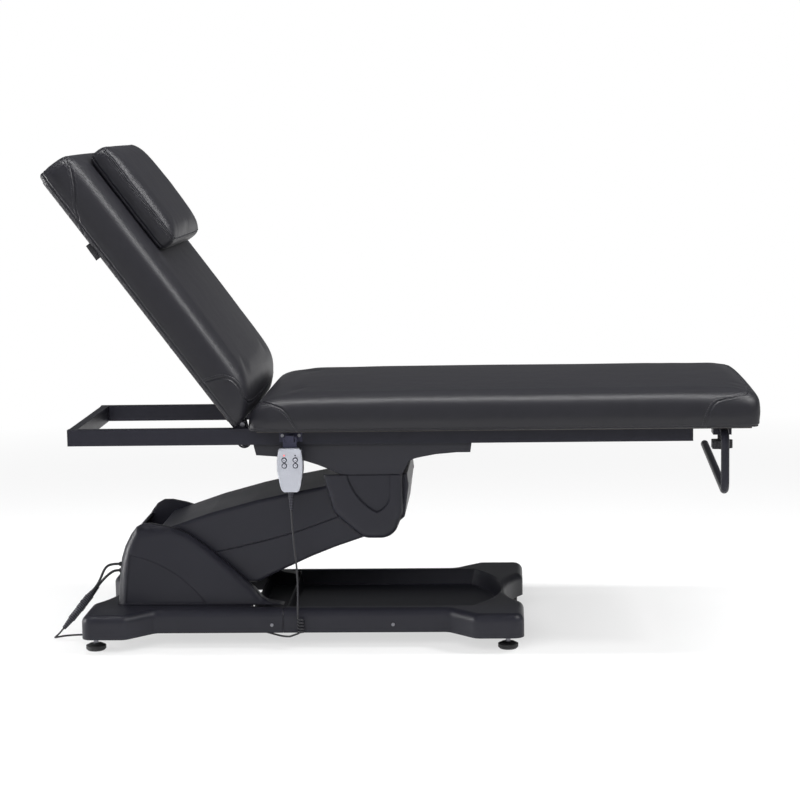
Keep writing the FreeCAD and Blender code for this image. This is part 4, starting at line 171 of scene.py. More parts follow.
class Number:
    """A number socket in a node tree. Arithmetic on it adds Math nodes."""

    def __init__(self, nodes, socket):
        self.nodes = nodes
        self.socket = socket

    def _maths(self, operation, first, second):
        node = self.nodes.node("ShaderNodeMath", {"operation": operation}, {0: first, 1: second})
        return Number(self.nodes, node.outputs[0])

    def __add__(self, other):
        return self._maths("ADD", self, other)

    def __radd__(self, other):
        return self._maths("ADD", other, self)

    def __sub__(self, other):
        return self._maths("SUBTRACT", self, other)

    def __rsub__(self, other):
        return self._maths("SUBTRACT", other, self)

    def __mul__(self, other):
        return self._maths("MULTIPLY", self, other)

    def __rmul__(self, other):
        return self._maths("MULTIPLY", other, self)

    def size(self):
        return self._maths("ABSOLUTE", self, 0.0)

    def larger(self, other):
        return self._maths("MAXIMUM", self, other)

    def above(self, other):
        return self._maths("GREATER_THAN", self, other)


class Nodes:
    """A node tree, and the one way that nodes are added to it."""

    def __init__(self, tree):
        self.tree = tree

    def node(self, kind, choices=None, values=None):
        node = self.tree.nodes.new(kind)
        for choice, value in (choices or {}).items():
            setattr(node, choice, value)
        for socket, value in (values or {}).items():
            self.feed(node.inputs[socket], value)
        return node

    def feed(self, socket, value):
        if isinstance(value, Number):
            self.tree.links.new(value.socket, socket)
        elif isinstance(value, bpy.types.NodeSocket):
            self.tree.links.new(value, socket)
        else:
            socket.default_value = value

    def fade(self, value, start, end, first, last, kind="LINEAR"):
        """A number that goes from first to last while the value goes from start to end."""
        node = self.node(
            "ShaderNodeMapRange", {"interpolation_type": kind},
            {"Value": value, "From Min": start, "From Max": end, "To Min": first, "To Max": last})
        return Number(self, node.outputs[0])

    def mix_shaders(self, share, first, second, output):
        """Sends the two shaders' mix to the output: the first where the share is 0, the second where 1."""
        mix = self.node("ShaderNodeMixShader", {}, {0: share, 1: first.outputs[0], 2: second.outputs[0]})
        self.node(output, {}, {0: mix.outputs[0]})


def empty_nodes(owner):
    """The node tree of a new material or world, with nothing in it."""
    owner.use_nodes = True
    owner.node_tree.nodes.clear()
    return Nodes(owner.node_tree)


class Finish(Nodes):
    """One material of node-made colour, roughness and relief."""

    def __init__(self, name, colour, roughness, **constants):
        self.material = bpy.data.materials.new(name)
        self.material.use_nodes = True
        super().__init__(self.material.node_tree)
        self.base = colour
        self.surface = self.tree.nodes["Principled BSDF"]
        self.tree.nodes["Material Output"].is_active_output = True
        self.material.diffuse_color = (*colour, 1.0)
        self.surface.inputs["Base Color"].default_value = (*colour, 1.0)
        self.surface.inputs["Roughness"].default_value = roughness
        for socket, value in constants.items():
            self.surface.inputs[socket.replace("_", " ")].default_value = value
        self.place = self.node("ShaderNodeTexCoord").outputs["Object"]

    def noise(self, scale, detail=3.0, roughness=0.5, place=None):
        node = self.node(
            "ShaderNodeTexNoise", {},
            {"Vector": place or self.place, "Scale": scale, "Detail": detail, "Roughness": roughness})
        return Number(self, node.outputs["Fac"])

    def cells(self, scale):
        node = self.node("ShaderNodeTexVoronoi", {}, {"Vector": self.place, "Scale": scale})
        return Number(self, node.outputs["Distance"])

    def bands(self, scale, direction):
        node = self.node(
            "ShaderNodeTexWave", {"wave_type": "BANDS", "bands_direction": direction},
            {"Vector": self.place, "Scale": scale})
        return Number(self, node.outputs["Fac"])

    def axis(self, name):
        node = self.node("ShaderNodeSeparateXYZ", {}, {0: self.place})
        return Number(self, node.outputs[name])

    def blend_colours(self, factor, first, second):
        node = self.node("ShaderNodeMix", {"data_type": "RGBA"}, {0: factor, 6: first, 7: second})
        return node.outputs[2]

    def colour(self, value):
        self.feed(self.surface.inputs["Base Color"], value)

    def mottle(self, factor, darker, paler):
        """The finish's own colour, made darker where the factor is low and paler where it is high."""
        self.colour(self.blend_colours(factor, shade(self.base, darker), shade(self.base, paler)))

    def rough(self, value):
        self.feed(self.surface.inputs["Roughness"], value)

    def relief(self, height, depth, strength=1.0, under=None):
        values = {"Height": height, "Distance": depth, "Strength": strength}
        if under is not None:
            values["Normal"] = under
        return self.node("ShaderNodeBump", {}, values).outputs["Normal"]

    def soft_edges(self, radius):
        """Normals that round the part's edges, as moulded and welded edges are."""
        return self.node("ShaderNodeBevel", {"samples": 6}, {"Radius": radius}).outputs["Normal"]

    def shape(self, normal):
        self.feed(self.surface.inputs["Normal"], normal)


def shade(colour, factor):
    """The colour scaled, as a four-part value."""
    return (*(min(1.0, part * factor) for part in colour), 1.0)


def vinyl_finish(name="vinyl"):
    colour = settings().vinyl
    finish = Finish(name, colour, 0.42, IOR=1.40)
    creases = finish.noise(7.0, 4.0, 0.55)
    cloud = finish.noise(38.0, 3.0)
    finish.mottle(cloud, 0.84, 1.18)
    pebbles = finish.cells(760.0)
    fine = finish.noise(1900.0, 2.0)
    finish.rough(0.43 + 0.05 * cloud + 0.03 * pebbles)
    soft = finish.relief(creases, 0.006, 0.30)
    finish.shape(finish.relief(pebbles * 0.8 + fine * 0.2, 0.00014, 0.12, soft))
    return finish.material


def moulding_finish(name="moulding", colour=None, rough=0.38, edge=0.006):
    colour = colour or settings().moulding
    finish = Finish(name, colour, rough, IOR=1.33)
    spark = finish.noise(1150.0, 2.0, 0.6)
    cloud = finish.noise(9.0, 3.0)
    finish.mottle(cloud, 0.88, 1.14)
    finish.rough(rough - 0.05 + 0.10 * cloud + 0.05 * spark)
    finish.shape(finish.relief(spark, 0.00018, 0.45, finish.soft_edges(edge)))
    return finish.material


def coat_finish(name="powder_coat", colour=None):
    colour = colour or settings().coat
    finish = Finish(name, colour, 0.38, IOR=1.28)
    peel = finish.noise(420.0, 2.0, 0.4)
    cloud = finish.noise(14.0, 2.0)
    finish.mottle(cloud, 0.9, 1.12)
    finish.rough(0.34 + 0.10 * cloud)
    finish.shape(finish.relief(peel, 0.00025, 0.5, finish.soft_edges(0.0025)))
    return finish.material


def rubber_finish(name="rubber", colour=(0.018, 0.018, 0.019), rough=0.62):
    finish = Finish(name, colour, rough)
    dust = finish.noise(160.0, 4.0)
    finish.mottle(dust, 0.8, 1.35)
    finish.rough(rough - 0.06 + 0.12 * dust)
    finish.shape(finish.relief(dust, 0.0002, 0.4))
    return finish.material


def steel_finish(name="steel", colour=(0.20, 0.20, 0.22)):
    finish = Finish(name, colour, 0.32, Metallic=1.0)
    brush = finish.noise(900.0, 3.0, 0.7)
    stain = finish.noise(30.0, 3.0)
    finish.mottle(stain, 0.82, 1.10)
    finish.rough(0.24 + 0.16 * brush)
    finish.shape(finish.relief(brush, 0.00006, 0.5))
    return finish.material


def shell_finish(name="handset_shell"):
    colour = settings().shell
    finish = Finish(name, colour, 0.38)
    spark = finish.noise(2200.0, 2.0)
    cloud = finish.noise(45.0, 2.0)
    finish.mottle(cloud, 0.95, 1.04)
    finish.rough(0.34 + 0.08 * cloud)
    finish.shape(finish.relief(spark, 0.00008, 0.35))
    return finish.material


def plywood_finish(name="plywood", colour=(0.032, 0.028, 0.026)):
    finish = Finish(name, colour, 0.66)
    stretched = finish.node(
        "ShaderNodeMapping", {}, {"Vector": finish.place, "Scale": (6.0, 70.0, 70.0)}).outputs[0]
    grain = finish.noise(5.0, 6.0, 0.6, stretched)
    finish.mottle(grain, 0.55, 1.9)
    finish.rough(0.58 + 0.16 * grain)
    finish.shape(finish.relief(grain, 0.0004, 0.4))
    return finish.material


def thread_finish(name="thread", colour=(0.042, 0.042, 0.047)):
    finish = Finish(name, colour, 0.6)
    twist = finish.bands(900.0, "DIAGONAL")
    finish.mottle(twist, 0.7, 1.25)
    finish.shape(finish.relief(twist, 0.0001, 0.4))
    return finish.material


def ribbon_finish(name="ribbon", colour=(0.011, 0.011, 0.013)):
    finish = Finish(name, colour, 0.6)
    weave = finish.noise(2400.0, 2.0)
    finish.mottle(weave, 0.7, 1.5)
    finish.rough(0.5 + 0.2 * weave)
    finish.shape(finish.relief(weave, 0.0001, 0.5))
    return finish.material


def relief_finish(name="ridged_rubber", direction="Z", colour=(0.017, 0.017, 0.021)):
    """Rubber with the ridges of a strain relief or the ribs of a connector, with pale and dark bands painted
    along them as highlight and shade.
    """
    finish = Finish(name, colour, 0.5, IOR=1.3)
    ridge_relief_and_painted_light = finish.bands(80.0, direction)
    # Painted highlight and shade: the rubber's colour goes from 0.3 to 3.2 times across each band, for the
    # light lines on the ridges.
    finish.mottle(ridge_relief_and_painted_light, 0.3, 3.2)
    finish.rough(0.42 + 0.12 * finish.noise(300.0))
    finish.shape(finish.relief(ridge_relief_and_painted_light, 0.0012, 0.8))
    return finish.material


def button_finish(name="button"):
    """A pale cap in a dark ring, with a small arrow that points up or down."""
    ring, cap = (0.024, 0.025, 0.034), (0.40, 0.41, 0.46)
    cap_radius, tip, foot, slope = 0.0040, 0.0019, -0.0013, 0.62
    finish = Finish(name, cap, 0.4)
    across = (finish.axis("X") - BUTTON_MIDDLE[0]).size() - BUTTON_HALF[0]
    up = (finish.axis("Z") - BUTTON_MIDDLE[1]).size() - BUTTON_HALF[1]
    outside = (across * across + up * up).above(cap_radius ** 2)
    arrow = ((tip - up) * slope).above(across.size()) * up.above(foot)
    finish.colour(finish.blend_colours(outside.larger(arrow), (*cap, 1.0), (*ring, 1.0)))
    finish.rough(0.34 + 0.1 * finish.noise(900.0))
    return finish.material


def lamp_finish(name="lamp"):
    """Two small lights: the left one lit red, the right one dark."""
    dark = (0.030, 0.030, 0.034, 1.0)
    lit, glow, none = (0.80, 0.07, 0.05, 1.0), (0.75, 0.04, 0.03, 1.0), (0.0, 0.0, 0.0, 1.0)
    finish = Finish(name, dark[:3], 0.22, Emission_Strength=1.0)
    right = finish.axis("X").above(BUTTON_MIDDLE[0])
    speck = finish.noise(900.0, 2.0)
    finish.colour(finish.blend_colours(right, lit, dark))
    finish.feed(finish.surface.inputs["Emission Color"], finish.blend_colours(right, glow, none))
    finish.rough(0.18 + 0.08 * speck)
    return finish.material


def finish_nodes():
    """Every rigid node of the frame and the finish it wears."""
    return {
        "moulding": (
            "base_front_cover", "base_rear_cover", "lift_housing", "arm_upper_cover", "arm_lower_cover",
            "hub_cover", "wing_cover"),
        "powder_coat": (
            "near_rail", "far_rail", "cross_tubes", "hinge_ears", "backrest_frame", "base_frame", "arm_frame",
            "carrier_frame", "level_link", "paper_roll_bar", "holder_clamp"),
        "black_plastic": (
            "rail_caps", "control_box", "cable_glands", "clamp_knob", "bar_end_cap", "handset_back",
            "back_motor", "lift_motor"),
        "ribbed_rubber": ("connector_a", "connector_b"),
        "hook_plastic": ("handset_hook", "handset_bracket"),
        "ridged_rubber": ("cord_relief",),
        "steel": (
            "hinge_pins", "lower_arm_shaft", "upper_arm_shaft", "base_pins", "back_motor_pin", "lift_rod",
            "back_rod", "foot_stems", "cover_screws", "hub_screws", "bracket_screws"),
        "rubber": ("foot_pads",),
        "plywood": ("seat_board", "backrest_board"),
        "handset_shell": ("handset_front",),
        "button": ("back_up_button", "bed_up_button", "back_down_button", "bed_down_button"),
        "lamp": ("handset_lights",),
    }


# ---------------------------------------------------------------- mesh helpers

def new_piece(name, mesh, material):
    """A smooth-shaded piece of that mesh, with the given material in its one slot."""
    piece = bpy.data.objects.new(name, mesh)
    bpy.context.scene.collection.objects.link(piece)
    mesh.materials.clear()
    mesh.materials.append(material)
    mesh.polygons.foreach_set("use_smooth", np.ones(len(mesh.polygons), bool))
    return piece


def mesh_of(name, points, faces):
    mesh = bpy.data.meshes.new(name)
    mesh.from_pydata([tuple(point) for point in points], [], faces)
    return mesh


def lattice(rows, steps, around=True, closed=False):
    """The faces between rows of points: around each row, and closed where the last row meets the first."""
    faces = []
    for i in range(rows if closed else rows - 1):
        a, b = i * steps, (i + 1) % rows * steps
        for k in range(steps if around else steps - 1):
            on = (k + 1) % steps
            faces.append((a + k, a + on, b + on, b + k))
    return faces


def unit(vectors):
    return vectors / np.maximum(np.linalg.norm(vectors, axis=1), 1e-9)[:, None]


def positions(mesh):
    co = np.empty(len(mesh.vertices) * 3)
    mesh.vertices.foreach_get("co", co)
    return co.reshape(-1, 3)


def normals(mesh):
    no = np.empty(len(mesh.vertices) * 3)
    mesh.vertex_normals.foreach_get("vector", no)
    return no.reshape(-1, 3)


def set_positions(mesh, co):
    mesh.vertices.foreach_set("co", np.asarray(co, np.float32).ravel())
    mesh.update()


def evaluated(piece):
    graph = bpy.context.evaluated_depsgraph_get()
    return bpy.data.meshes.new_from_object(piece.evaluated_get(graph))


def replace_mesh(piece, mesh):
    old = piece.data
    piece.modifiers.clear()
    piece.data = mesh
    bpy.data.meshes.remove(old)


def smoothed(co, edges, rounds, share=0.5):
    """The points, each moved towards the middle of its neighbours."""
    count = np.zeros(len(co))
    np.add.at(count, edges[:, 0], 1)
    np.add.at(count, edges[:, 1], 1)
    for _ in range(rounds):
        total = np.zeros_like(co)
        np.add.at(total, edges[:, 0], co[edges[:, 1]])
        np.add.at(total, edges[:, 1], co[edges[:, 0]])
        co = co + share * (total / count[:, None] - co)
    return co


def edge_pairs(mesh):
    pairs = np.empty(len(mesh.edges) * 2, int)
    mesh.edges.foreach_get("vertices", pairs)
    return pairs.reshape(-1, 2)


def swollen_pad(node, name, voxel, swell, board_plane):
    """A pad made from a frame cushion: remeshed, and blown up as cloth that is held at its board."""
    edge_rounds, free_height, held_height, shrunk_height = 9, 0.03, 0.006, 0.02
    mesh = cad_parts[node].data.copy()
    mesh.name = name
    bm = bmesh.new()
    bm.from_mesh(mesh)
    bmesh.ops.remove_doubles(bm, verts=bm.verts, dist=1e-5)
    bmesh.ops.recalc_face_normals(bm, faces=bm.faces)
    bm.to_mesh(mesh)
    bm.free()
    pad = new_piece(name, mesh, vinyl_finish())
    remesh = pad.modifiers.new("voxels", "REMESH")
    remesh.mode = "VOXEL"
    remesh.voxel_size = voxel
    replace_mesh(pad, evaluated(pad))
    mesh = pad.data
    edges = edge_pairs(mesh)
    sharp = positions(mesh)
    height = (sharp - np.array(board_plane[0])) @ np.array(board_plane[1])
    free = np.clip(height / free_height, 0, 1)
    rest = sharp + (smoothed(sharp, edges, edge_rounds) - sharp) * free[:, None]
    rest = smoothed(rest, edges, 2)
    set_positions(mesh, rest)
    outward = normals(mesh)
    rest = rest - outward * (0.25 * swell * np.clip(height / shrunk_height, 0, 1))[:, None]
    set_positions(mesh, rest)
    puff = 0.75 * swell * free
    # The cloth only adds its own unevenness to the plain puff, so that it can't pull the corners in.
    held = height < held_height
    swelled = np.sum((blown_up(pad, held) - rest) * outward, axis=1)
    swelled = smoothed(np.clip(swelled, -0.3 * swell, swell)[:, None], edges, 3)[:, 0]
    puff = 0.78 * puff + 0.34 * np.where(held, 0.0, swelled)
    set_positions(mesh, smoothed(rest + outward * puff[:, None], edges, 1))
    mesh.name = name
    return pad


def fuller(pad, towards, centre, reach):
    """Pushes the pad out round a point, most at the point and by the vector's length there."""
    co = positions(pad.data)
    away = (co - np.array(centre)) / np.array(reach)
    co += np.exp(-np.sum(away * away, axis=1))[:, None] * np.array(towards)
    set_positions(pad.data, co)


def leave_room(pad, mover, hinge, turn, clearance, reach=0.20, search=0.04, stops=9, rounds=8):
    """Presses the pad in wherever the mover would cut into it while it turns about the hinge."""
    tree = tree_over(mover.data)
    full = positions(pad.data)
    co = full.copy()
    near = np.flatnonzero(np.linalg.norm(co[:, ::2] - np.array((hinge.x, hinge.z)), axis=1) < reach)
    for angle in np.linspace(0.0, turn, stops):
        there = Matrix.Rotation(angle, 3, "Y")
        for i in near:
            seen = there.transposed() @ (Vector(co[i]) - hinge) + hinge
            found, out, _, _ = tree.find_nearest(seen, search)
            above = clearance if found is None else (seen - found).dot(out)
            if above < clearance:
                co[i] = there @ (seen + out * (clearance - above) - hinge) + hinge
    set_positions(pad.data, full + smoothed(co - full, edge_pairs(pad.data), rounds))


def kd_tree(points):
    tree = kdtree.KDTree(len(points))
    for i, p in enumerate(points):
        tree.insert(p, i)
    tree.balance()
    return tree


def refined(pad, lines, near_line=0.013):
    """Smaller faces along the lines, and one level of subdivision everywhere."""
    tree = kd_tree(np.concatenate(lines)[::2])
    bm = bmesh.new()
    bm.from_mesh(pad.data)
    near = {v for v in bm.verts if tree.find(v.co)[2] < near_line}
    edges = [e for e in bm.edges if e.verts[0] in near and e.verts[1] in near]
    bmesh.ops.subdivide_edges(bm, edges=edges, cuts=2, use_grid_fill=True)
    bm.to_mesh(pad.data)
    bm.free()
    name = pad.data.name
    finer = pad.modifiers.new("finer", "SUBSURF")
    finer.levels = finer.render_levels = 1
    replace_mesh(pad, evaluated(pad))
    pad.data.name = name
    pad.data.polygons.foreach_set("use_smooth", np.ones(len(pad.data.polygons), bool))


def blown_up(pad, held):
    """Where the pad's points go when it is blown up as cloth, with the held points fixed."""
    group = pad.vertex_groups.new(name="held")
    group.add([int(i) for i in np.flatnonzero(held)], 1.0, "REPLACE")
    cloth = pad.modifiers.new("swell", "CLOTH")
    cloth.settings.quality = 4
    cloth.settings.mass = 0.3
    cloth.settings.tension_stiffness = 18
    cloth.settings.compression_stiffness = 18
    cloth.settings.shear_stiffness = 8
    cloth.settings.bending_stiffness = 2
    cloth.settings.vertex_group_mass = "held"
    cloth.settings.use_pressure = True
    cloth.settings.uniform_pressure_force = 4.0
    cloth.settings.effector_weights.gravity = 0.0
    cloth.collision_settings.use_collision = False
    cloth.collision_settings.use_self_collision = False
    last = settings().swell_frames
    cloth.point_cache.frame_start = 1
    cloth.point_cache.frame_end = last
    scene = bpy.context.scene
    for number in range(1, last + 1):
        scene.frame_set(number)
    blown = evaluated(pad)
    moved = positions(blown)
    bpy.data.meshes.remove(blown)
    pad.modifiers.clear()
    pad.vertex_groups.clear()
    scene.frame_set(1)
    return moved


def smooth_line(points, step):
    """A Catmull-Rom line through the points, in even steps."""
    p = [Vector(point) for point in points]
    p = [2 * p[0] - p[1], *p, 2 * p[-1] - p[-2]]
    fine = []
    for a, b, c, d in zip(p, p[1:], p[2:], p[3:]):
        for i in range(24):
            t = i / 24
            fine.append(0.5 * (2 * b + (c - a) * t + (2 * a - 5 * b + 4 * c - d) * t * t
                               + (3 * b - a - 3 * c + d) * t * t * t))
    fine.append(p[-2])
    return even_steps(fine, step)


def even_steps(points, step):
    points = np.array(points, float)
    lengths = np.linalg.norm(np.diff(points, axis=0), axis=1)
    run = np.concatenate(([0.0], np.cumsum(lengths)))
    count = max(2, int(round(run[-1] / step)))
    at = np.linspace(0, run[-1], count + 1)
    return np.stack([np.interp(at, run, points[:, k]) for k in range(3)], axis=1)


def tree_over(mesh):
    bm = bmesh.new()
    bm.from_mesh(mesh)
    tree = BVHTree.FromBMesh(bm)
    bm.free()
    return tree


def onto(tree, line):
    """The line's points and the surface's normals where each is nearest to the surface."""
    found = [tree.find_nearest(Vector(p)) for p in line]
    return np.array([f[0] for f in found]), np.array([f[1] for f in found])


def contour(mesh, point, direction):
    """The outline of the mesh where a plane cuts it, as a closed line."""
    bm = bmesh.new()
    bm.from_mesh(mesh)
    cut = bmesh.ops.bisect_plane(
        bm, geom=bm.verts[:] + bm.edges[:] + bm.faces[:], plane_co=point, plane_no=direction, dist=1e-7)
    edges = [e for e in cut["geom_cut"] if isinstance(e, bmesh.types.BMEdge)]
    near = {}
    for edge in edges:
        a, b = edge.verts
        near.setdefault(a, []).append(b)
        near.setdefault(b, []).append(a)
    loops = []
    left = set(near)
    while left:
        start = min(left, key=lambda v: tuple(v.co))
        loop, last, here = [start], None, start
        left.discard(start)
        while True:
            onward = [v for v in near[here] if v is not last and v in left]
            if not onward:
                break
            last, here = here, onward[0]
            left.discard(here)
            loop.append(here)
        loops.append([v.co.copy() for v in loop])
    bm.free()
    longest = max(loops, key=len)
    return longest + [longest[0]]


def groove(co, no, lines, depth, width, reach=0.016, pucker=0.007):
    """How each point moves for seams that pull the vinyl in, with a ridge and small puckers beside."""
    tree = kd_tree(np.concatenate(lines))
    away = np.array([tree.find(p)[2] for p in co])
    move = 0.34 * depth * np.exp(-((away - 3.0 * width) / (1.7 * width)) ** 2)
    move -= depth * np.exp(-(away / width) ** 2)
    close = away < reach
    waves = co[close] @ np.array([[410.0, 380.0, 450.0], [-233.0, 517.0, 190.0]]).T
    phase = np.sin(waves[:, 0]) + np.sin(waves[:, 1])
    move[close] += 0.12 * depth * phase * np.exp(-(away[close] / pucker) ** 2)
    return no * move[:, None]


def sew(pad, seams, rows, depth):
    """Pulls the pad in along its seams, and less along the rows of top stitching."""
    co, no = positions(pad.data), normals(pad.data)
    co = co + groove(co, no, seams, depth, 0.0016)
    co = co + groove(co, no, rows, 0.32 * depth, 0.0013)
    set_positions(pad.data, co)


def beside(tree, line, aside):
    """A line on the surface that runs beside another."""
    on, out = onto(tree, line)
    return onto(tree, on + np.cross(out, unit(np.gradient(on, axis=0))) * aside)[0]


def bead_shape(round_steps=8, long_steps=6):
    """A unit bead along its first axis: its points, and its faces by point number."""
    points = []
    for i in range(long_steps + 1):
        t = -1 + 2 * i / long_steps
        ring = math.sqrt(max(0.02, 1 - t * t))
        for k in range(round_steps):
            turn = 2 * math.pi * k / round_steps
            points.append((t, ring * math.cos(turn), ring * math.sin(turn)))
    return np.array(points), np.array(lattice(long_steps + 1, round_steps))


def stitch_row(name, pad, line, body, material):
    """A row of raised stitches on the pad along a line."""
    own = settings()
    half_width, half_height, lift = 0.00050, 0.00045, 0.00015
    on, out = onto(tree_over(pad.data), even_steps(line, own.stitch_pitch))
    bead, faces = bead_shape()
    along = np.gradient(on, axis=0)
    along = unit(along - out * np.sum(along * out, axis=1)[:, None])
    side = np.cross(out, along)
    size = (own.stitch_length / 2, half_width, half_height)
    co = (on + out * lift)[:, None, :]
    for k, axes in enumerate((along, side, out)):
        co = co + bead[None, :, k, None] * size[k] * axes[:, None, :]
    shift = (np.arange(len(on)) * len(bead))[:, None, None]
    mesh = mesh_of(name, co.reshape(-1, 3).tolist(), (faces[None] + shift).reshape(-1, 4).tolist())
    row = new_piece(name, mesh, material)
    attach(row, body)


def mirrored(points):
    """A seam's near half and its far half as one line of points."""
    return [*points, *[(x, -y, z) for x, y, z in reversed(points)]]


def tube(name, line, radius, material, sides=14):
    """A tube round a line of points, with its ends closed."""
    centre = np.array(line, float)
    ahead = unit(np.gradient(centre, axis=0))
    side = Vector(ahead[0]).orthogonal().normalized()
    turns = [2 * math.pi * k / sides for k in range(sides)]
    points = []
    for place, direction in zip(map(Vector, centre), map(Vector, ahead)):
        side = (side - direction * side.dot(direction)).normalized()
        up = direction.cross(side)
        points += [place + radius * (math.cos(turn) * side + math.sin(turn) * up) for turn in turns]
    first, last = tuple(reversed(range(sides))), tuple(range(len(points) - sides, len(points)))
    mesh = mesh_of(name, points, lattice(len(centre), sides) + [first, last])
    return new_piece(name, mesh, material)


# ---------------------------------------------------------------- cords

def route(name, points):
    """A cord's own line: a smooth NURBS spline with the route's points as its control points."""
    curve = bpy.data.curves.new(name, "CURVE")
    curve.dimensions = "3D"
    curve.resolution_u = 16
    spline = curve.splines.new("NURBS")
    spline.points.add(len(points) - 1)
    for control, place in zip(spline.points, points):
        control.co = (*place, 1.0)
    spline.order_u = 3
    spline.use_endpoint_u = True
    piece = bpy.data.objects.new(name, curve)
    bpy.context.scene.collection.objects.link(piece)
    return piece


def line_of(name, points):
    """The points of the route's spline, in order."""
    guide = route(name + "_line", points)
    mesh = bpy.data.meshes.new_from_object(guide)
    line = [tuple(v.co) for v in mesh.vertices]
    bpy.data.meshes.remove(mesh)
    bpy.data.objects.remove(guide)
    return line


def curl_points():
    """The curly part's control points: from the hanging part, round and down, to the floor part."""
    top, end = UPPER_CORD[-1], FLOOR_CORD[0]
    x, y, height = top[0] + CURL_RADIUS, top[1], top[2] - 1.2 * CURL_PITCH
    points = []
    for k in range(CURL_TURNS * CURL_POINTS_PER_TURN + 1):
        turn = math.pi + 2 * math.pi * k / CURL_POINTS_PER_TURN
        points.append((
            x + CURL_RADIUS * math.cos(turn), y + CURL_RADIUS * math.sin(turn),
            height - CURL_PITCH * k / CURL_POINTS_PER_TURN))
    return [top, *points, end]


def mesh_cord(name, points, diameter, node, material, bodies, **facts):
    """A cord as a mesh tube: left where it lies when it runs between two bodies, and put on its body
    otherwise.
    """
    line = line_of(name, points)
    piece = tube(name, line, diameter / 2, material)
    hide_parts(node)
    if len(bodies) == 2:
        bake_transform(piece)
    else:
        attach(piece, bodies[0])


class CHAIR_OT_cords(bpy.types.Operator):
    """Makes the handset cord in its three parts and the two motor leads"""

    bl_idname = "chair.cords"
    bl_label = "Cords"

    def execute(self, context):
        own = settings()
        jacket = rubber_finish("cord_jacket", own.jacket, 0.46)
        thin, thick = own.handset_cord, own.lead
        mesh_cord(
            "handset_cord_hanging", UPPER_CORD, thin, "handset_cord_upper", jacket, ("top", "lift_arm"),
            far_end="object", stiffness="limp", lay="hanging")
        mesh_cord(
            "handset_cord_curled", curl_points(), thin, "handset_cord_curl", jacket, ("lift_arm", "base"),
            far_end="object", stiffness="limp", lay="coiled")
        mesh_cord(
            "handset_cord_lying", FLOOR_CORD, thin, "handset_cord_floor", jacket, ("base",),
            far_end="connector", stiffness="limp", lay="loose", with_pieces=["connector_b"])
        mesh_cord(
            "motor_lead_a", LEAD_A, thick, "lead_a", jacket, ("base",),
            far_end="connector", stiffness="medium", lay="loose", with_pieces=["connector_a"])
        mesh_cord(
            "motor_lead_b", LEAD_B, thick, "lead_b", jacket, ("base",),
            far_end="connector", stiffness="medium", lay="loose", with_pieces=["connector_b"])
        return {"FINISHED"}


# ---------------------------------------------------------------- covers with rounded cheeks

def finer_copy(node, longest):
    """The node's surface with no edge longer than that, its sharp edges kept."""
    bm = bmesh.new()
    bm.from_mesh(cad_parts[node].data)
    bmesh.ops.remove_doubles(bm, verts=bm.verts, dist=1e-6)
    bmesh.ops.triangulate(bm, faces=bm.faces)
    for _ in range(9):
        long_edges = [e for e in bm.edges if e.calc_length() > longest]
        if not long_edges:
            break
        bmesh.ops.subdivide_edges(bm, edges=long_edges, cuts=1)
        bmesh.ops.triangulate(bm, faces=[f for f in bm.faces if len(f.verts) > 3])
    for edge in bm.edges:
        edge.smooth = len(edge.link_faces) == 2 and edge.calc_face_angle(0.0) < math.radians(32)
    mesh = bpy.data.meshes.new(node + "_rounded")
    bm.to_mesh(mesh)
    bm.free()
    return mesh


def outline_round(mesh, centre, y):
    """Where the cheek's outline is, looked at from the side: one point each degree round the centre."""
    tree = tree_over(mesh)
    found = []
    for degree in range(360):
        turn = math.radians(degree)
        away = Vector((math.cos(turn), 0.0, math.sin(turn)))
        start = Vector((centre[0], y, centre[1])) + away
        hit = tree.ray_cast(start, -away)[0]
        if hit is not None:
            found.append((hit.x, 0.0, hit.z))
    return found


def rounded_cover(node, body, centre, inside, radius, edge):
    """The node with its cheeks' outer edges rounded where the edge says, as moulded covers have them."""
    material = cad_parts[node].material_slots[0].material
    mesh = finer_copy(node, 0.010)
    co = positions(mesh)
    outer = float(np.abs(co[:, 1]).max())
    outline = outline_round(mesh, centre, 0.5 * (inside + outer))
    rim = kd_tree([point for point in even_steps(outline, 0.001) if edge(point)])
    for i, (x, y, z) in enumerate(co):
        if abs(y) <= inside:
            continue
        away = rim.find((x, 0.0, z))[2]
        bend = radius(x, z)
        if away < bend:
            inward = bend - math.sqrt(bend * bend - (bend - away) ** 2)
            share = min(1.0, (abs(y) - inside) / (0.7 * (outer - inside)))
            co[i, 1] = math.copysign(abs(y) - inward * share, y)
    set_positions(mesh, co)
    cover = new_piece(node + "_rounded", mesh, material)
    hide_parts(node)
    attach(cover, body)


class CHAIR_OT_covers(bpy.types.Operator):
    """Rounds the cheeks of the lift housing and of the hub cover"""

    bl_idname = "chair.covers"
    bl_label = "Rounded covers"

    def execute(self, context):
        low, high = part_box("lift_housing")
        rear, front = low.x, low.x + 0.30 * (high.x - low.x)

        def housing_radius(x, z):
            """Widest at the rear corner, and less further forward."""
            share = min(1.0, max(0.0, (x - rear) / (front - rear)))
            return 0.034 - 0.020 * share

        inner_side = 0.161
        rounded_cover(
            "lift_housing", "base", (low.x + 0.13, low.z + 0.01), inner_side, housing_radius,
            lambda point: point[2] > low.z + 0.006)
        low_hub, high_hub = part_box("hub_cover")
        middle = (0.5 * (low_hub.x + high_hub.x), high_hub.z - 0.055)
        rounded_cover(
            "hub_cover", "top", middle, high_hub.y - 0.022, lambda x, z: 0.018,
            lambda point: point[2] < high_hub.z - 0.004)
        return {"FINISHED"}


# ---------------------------------------------------------------- upholstery

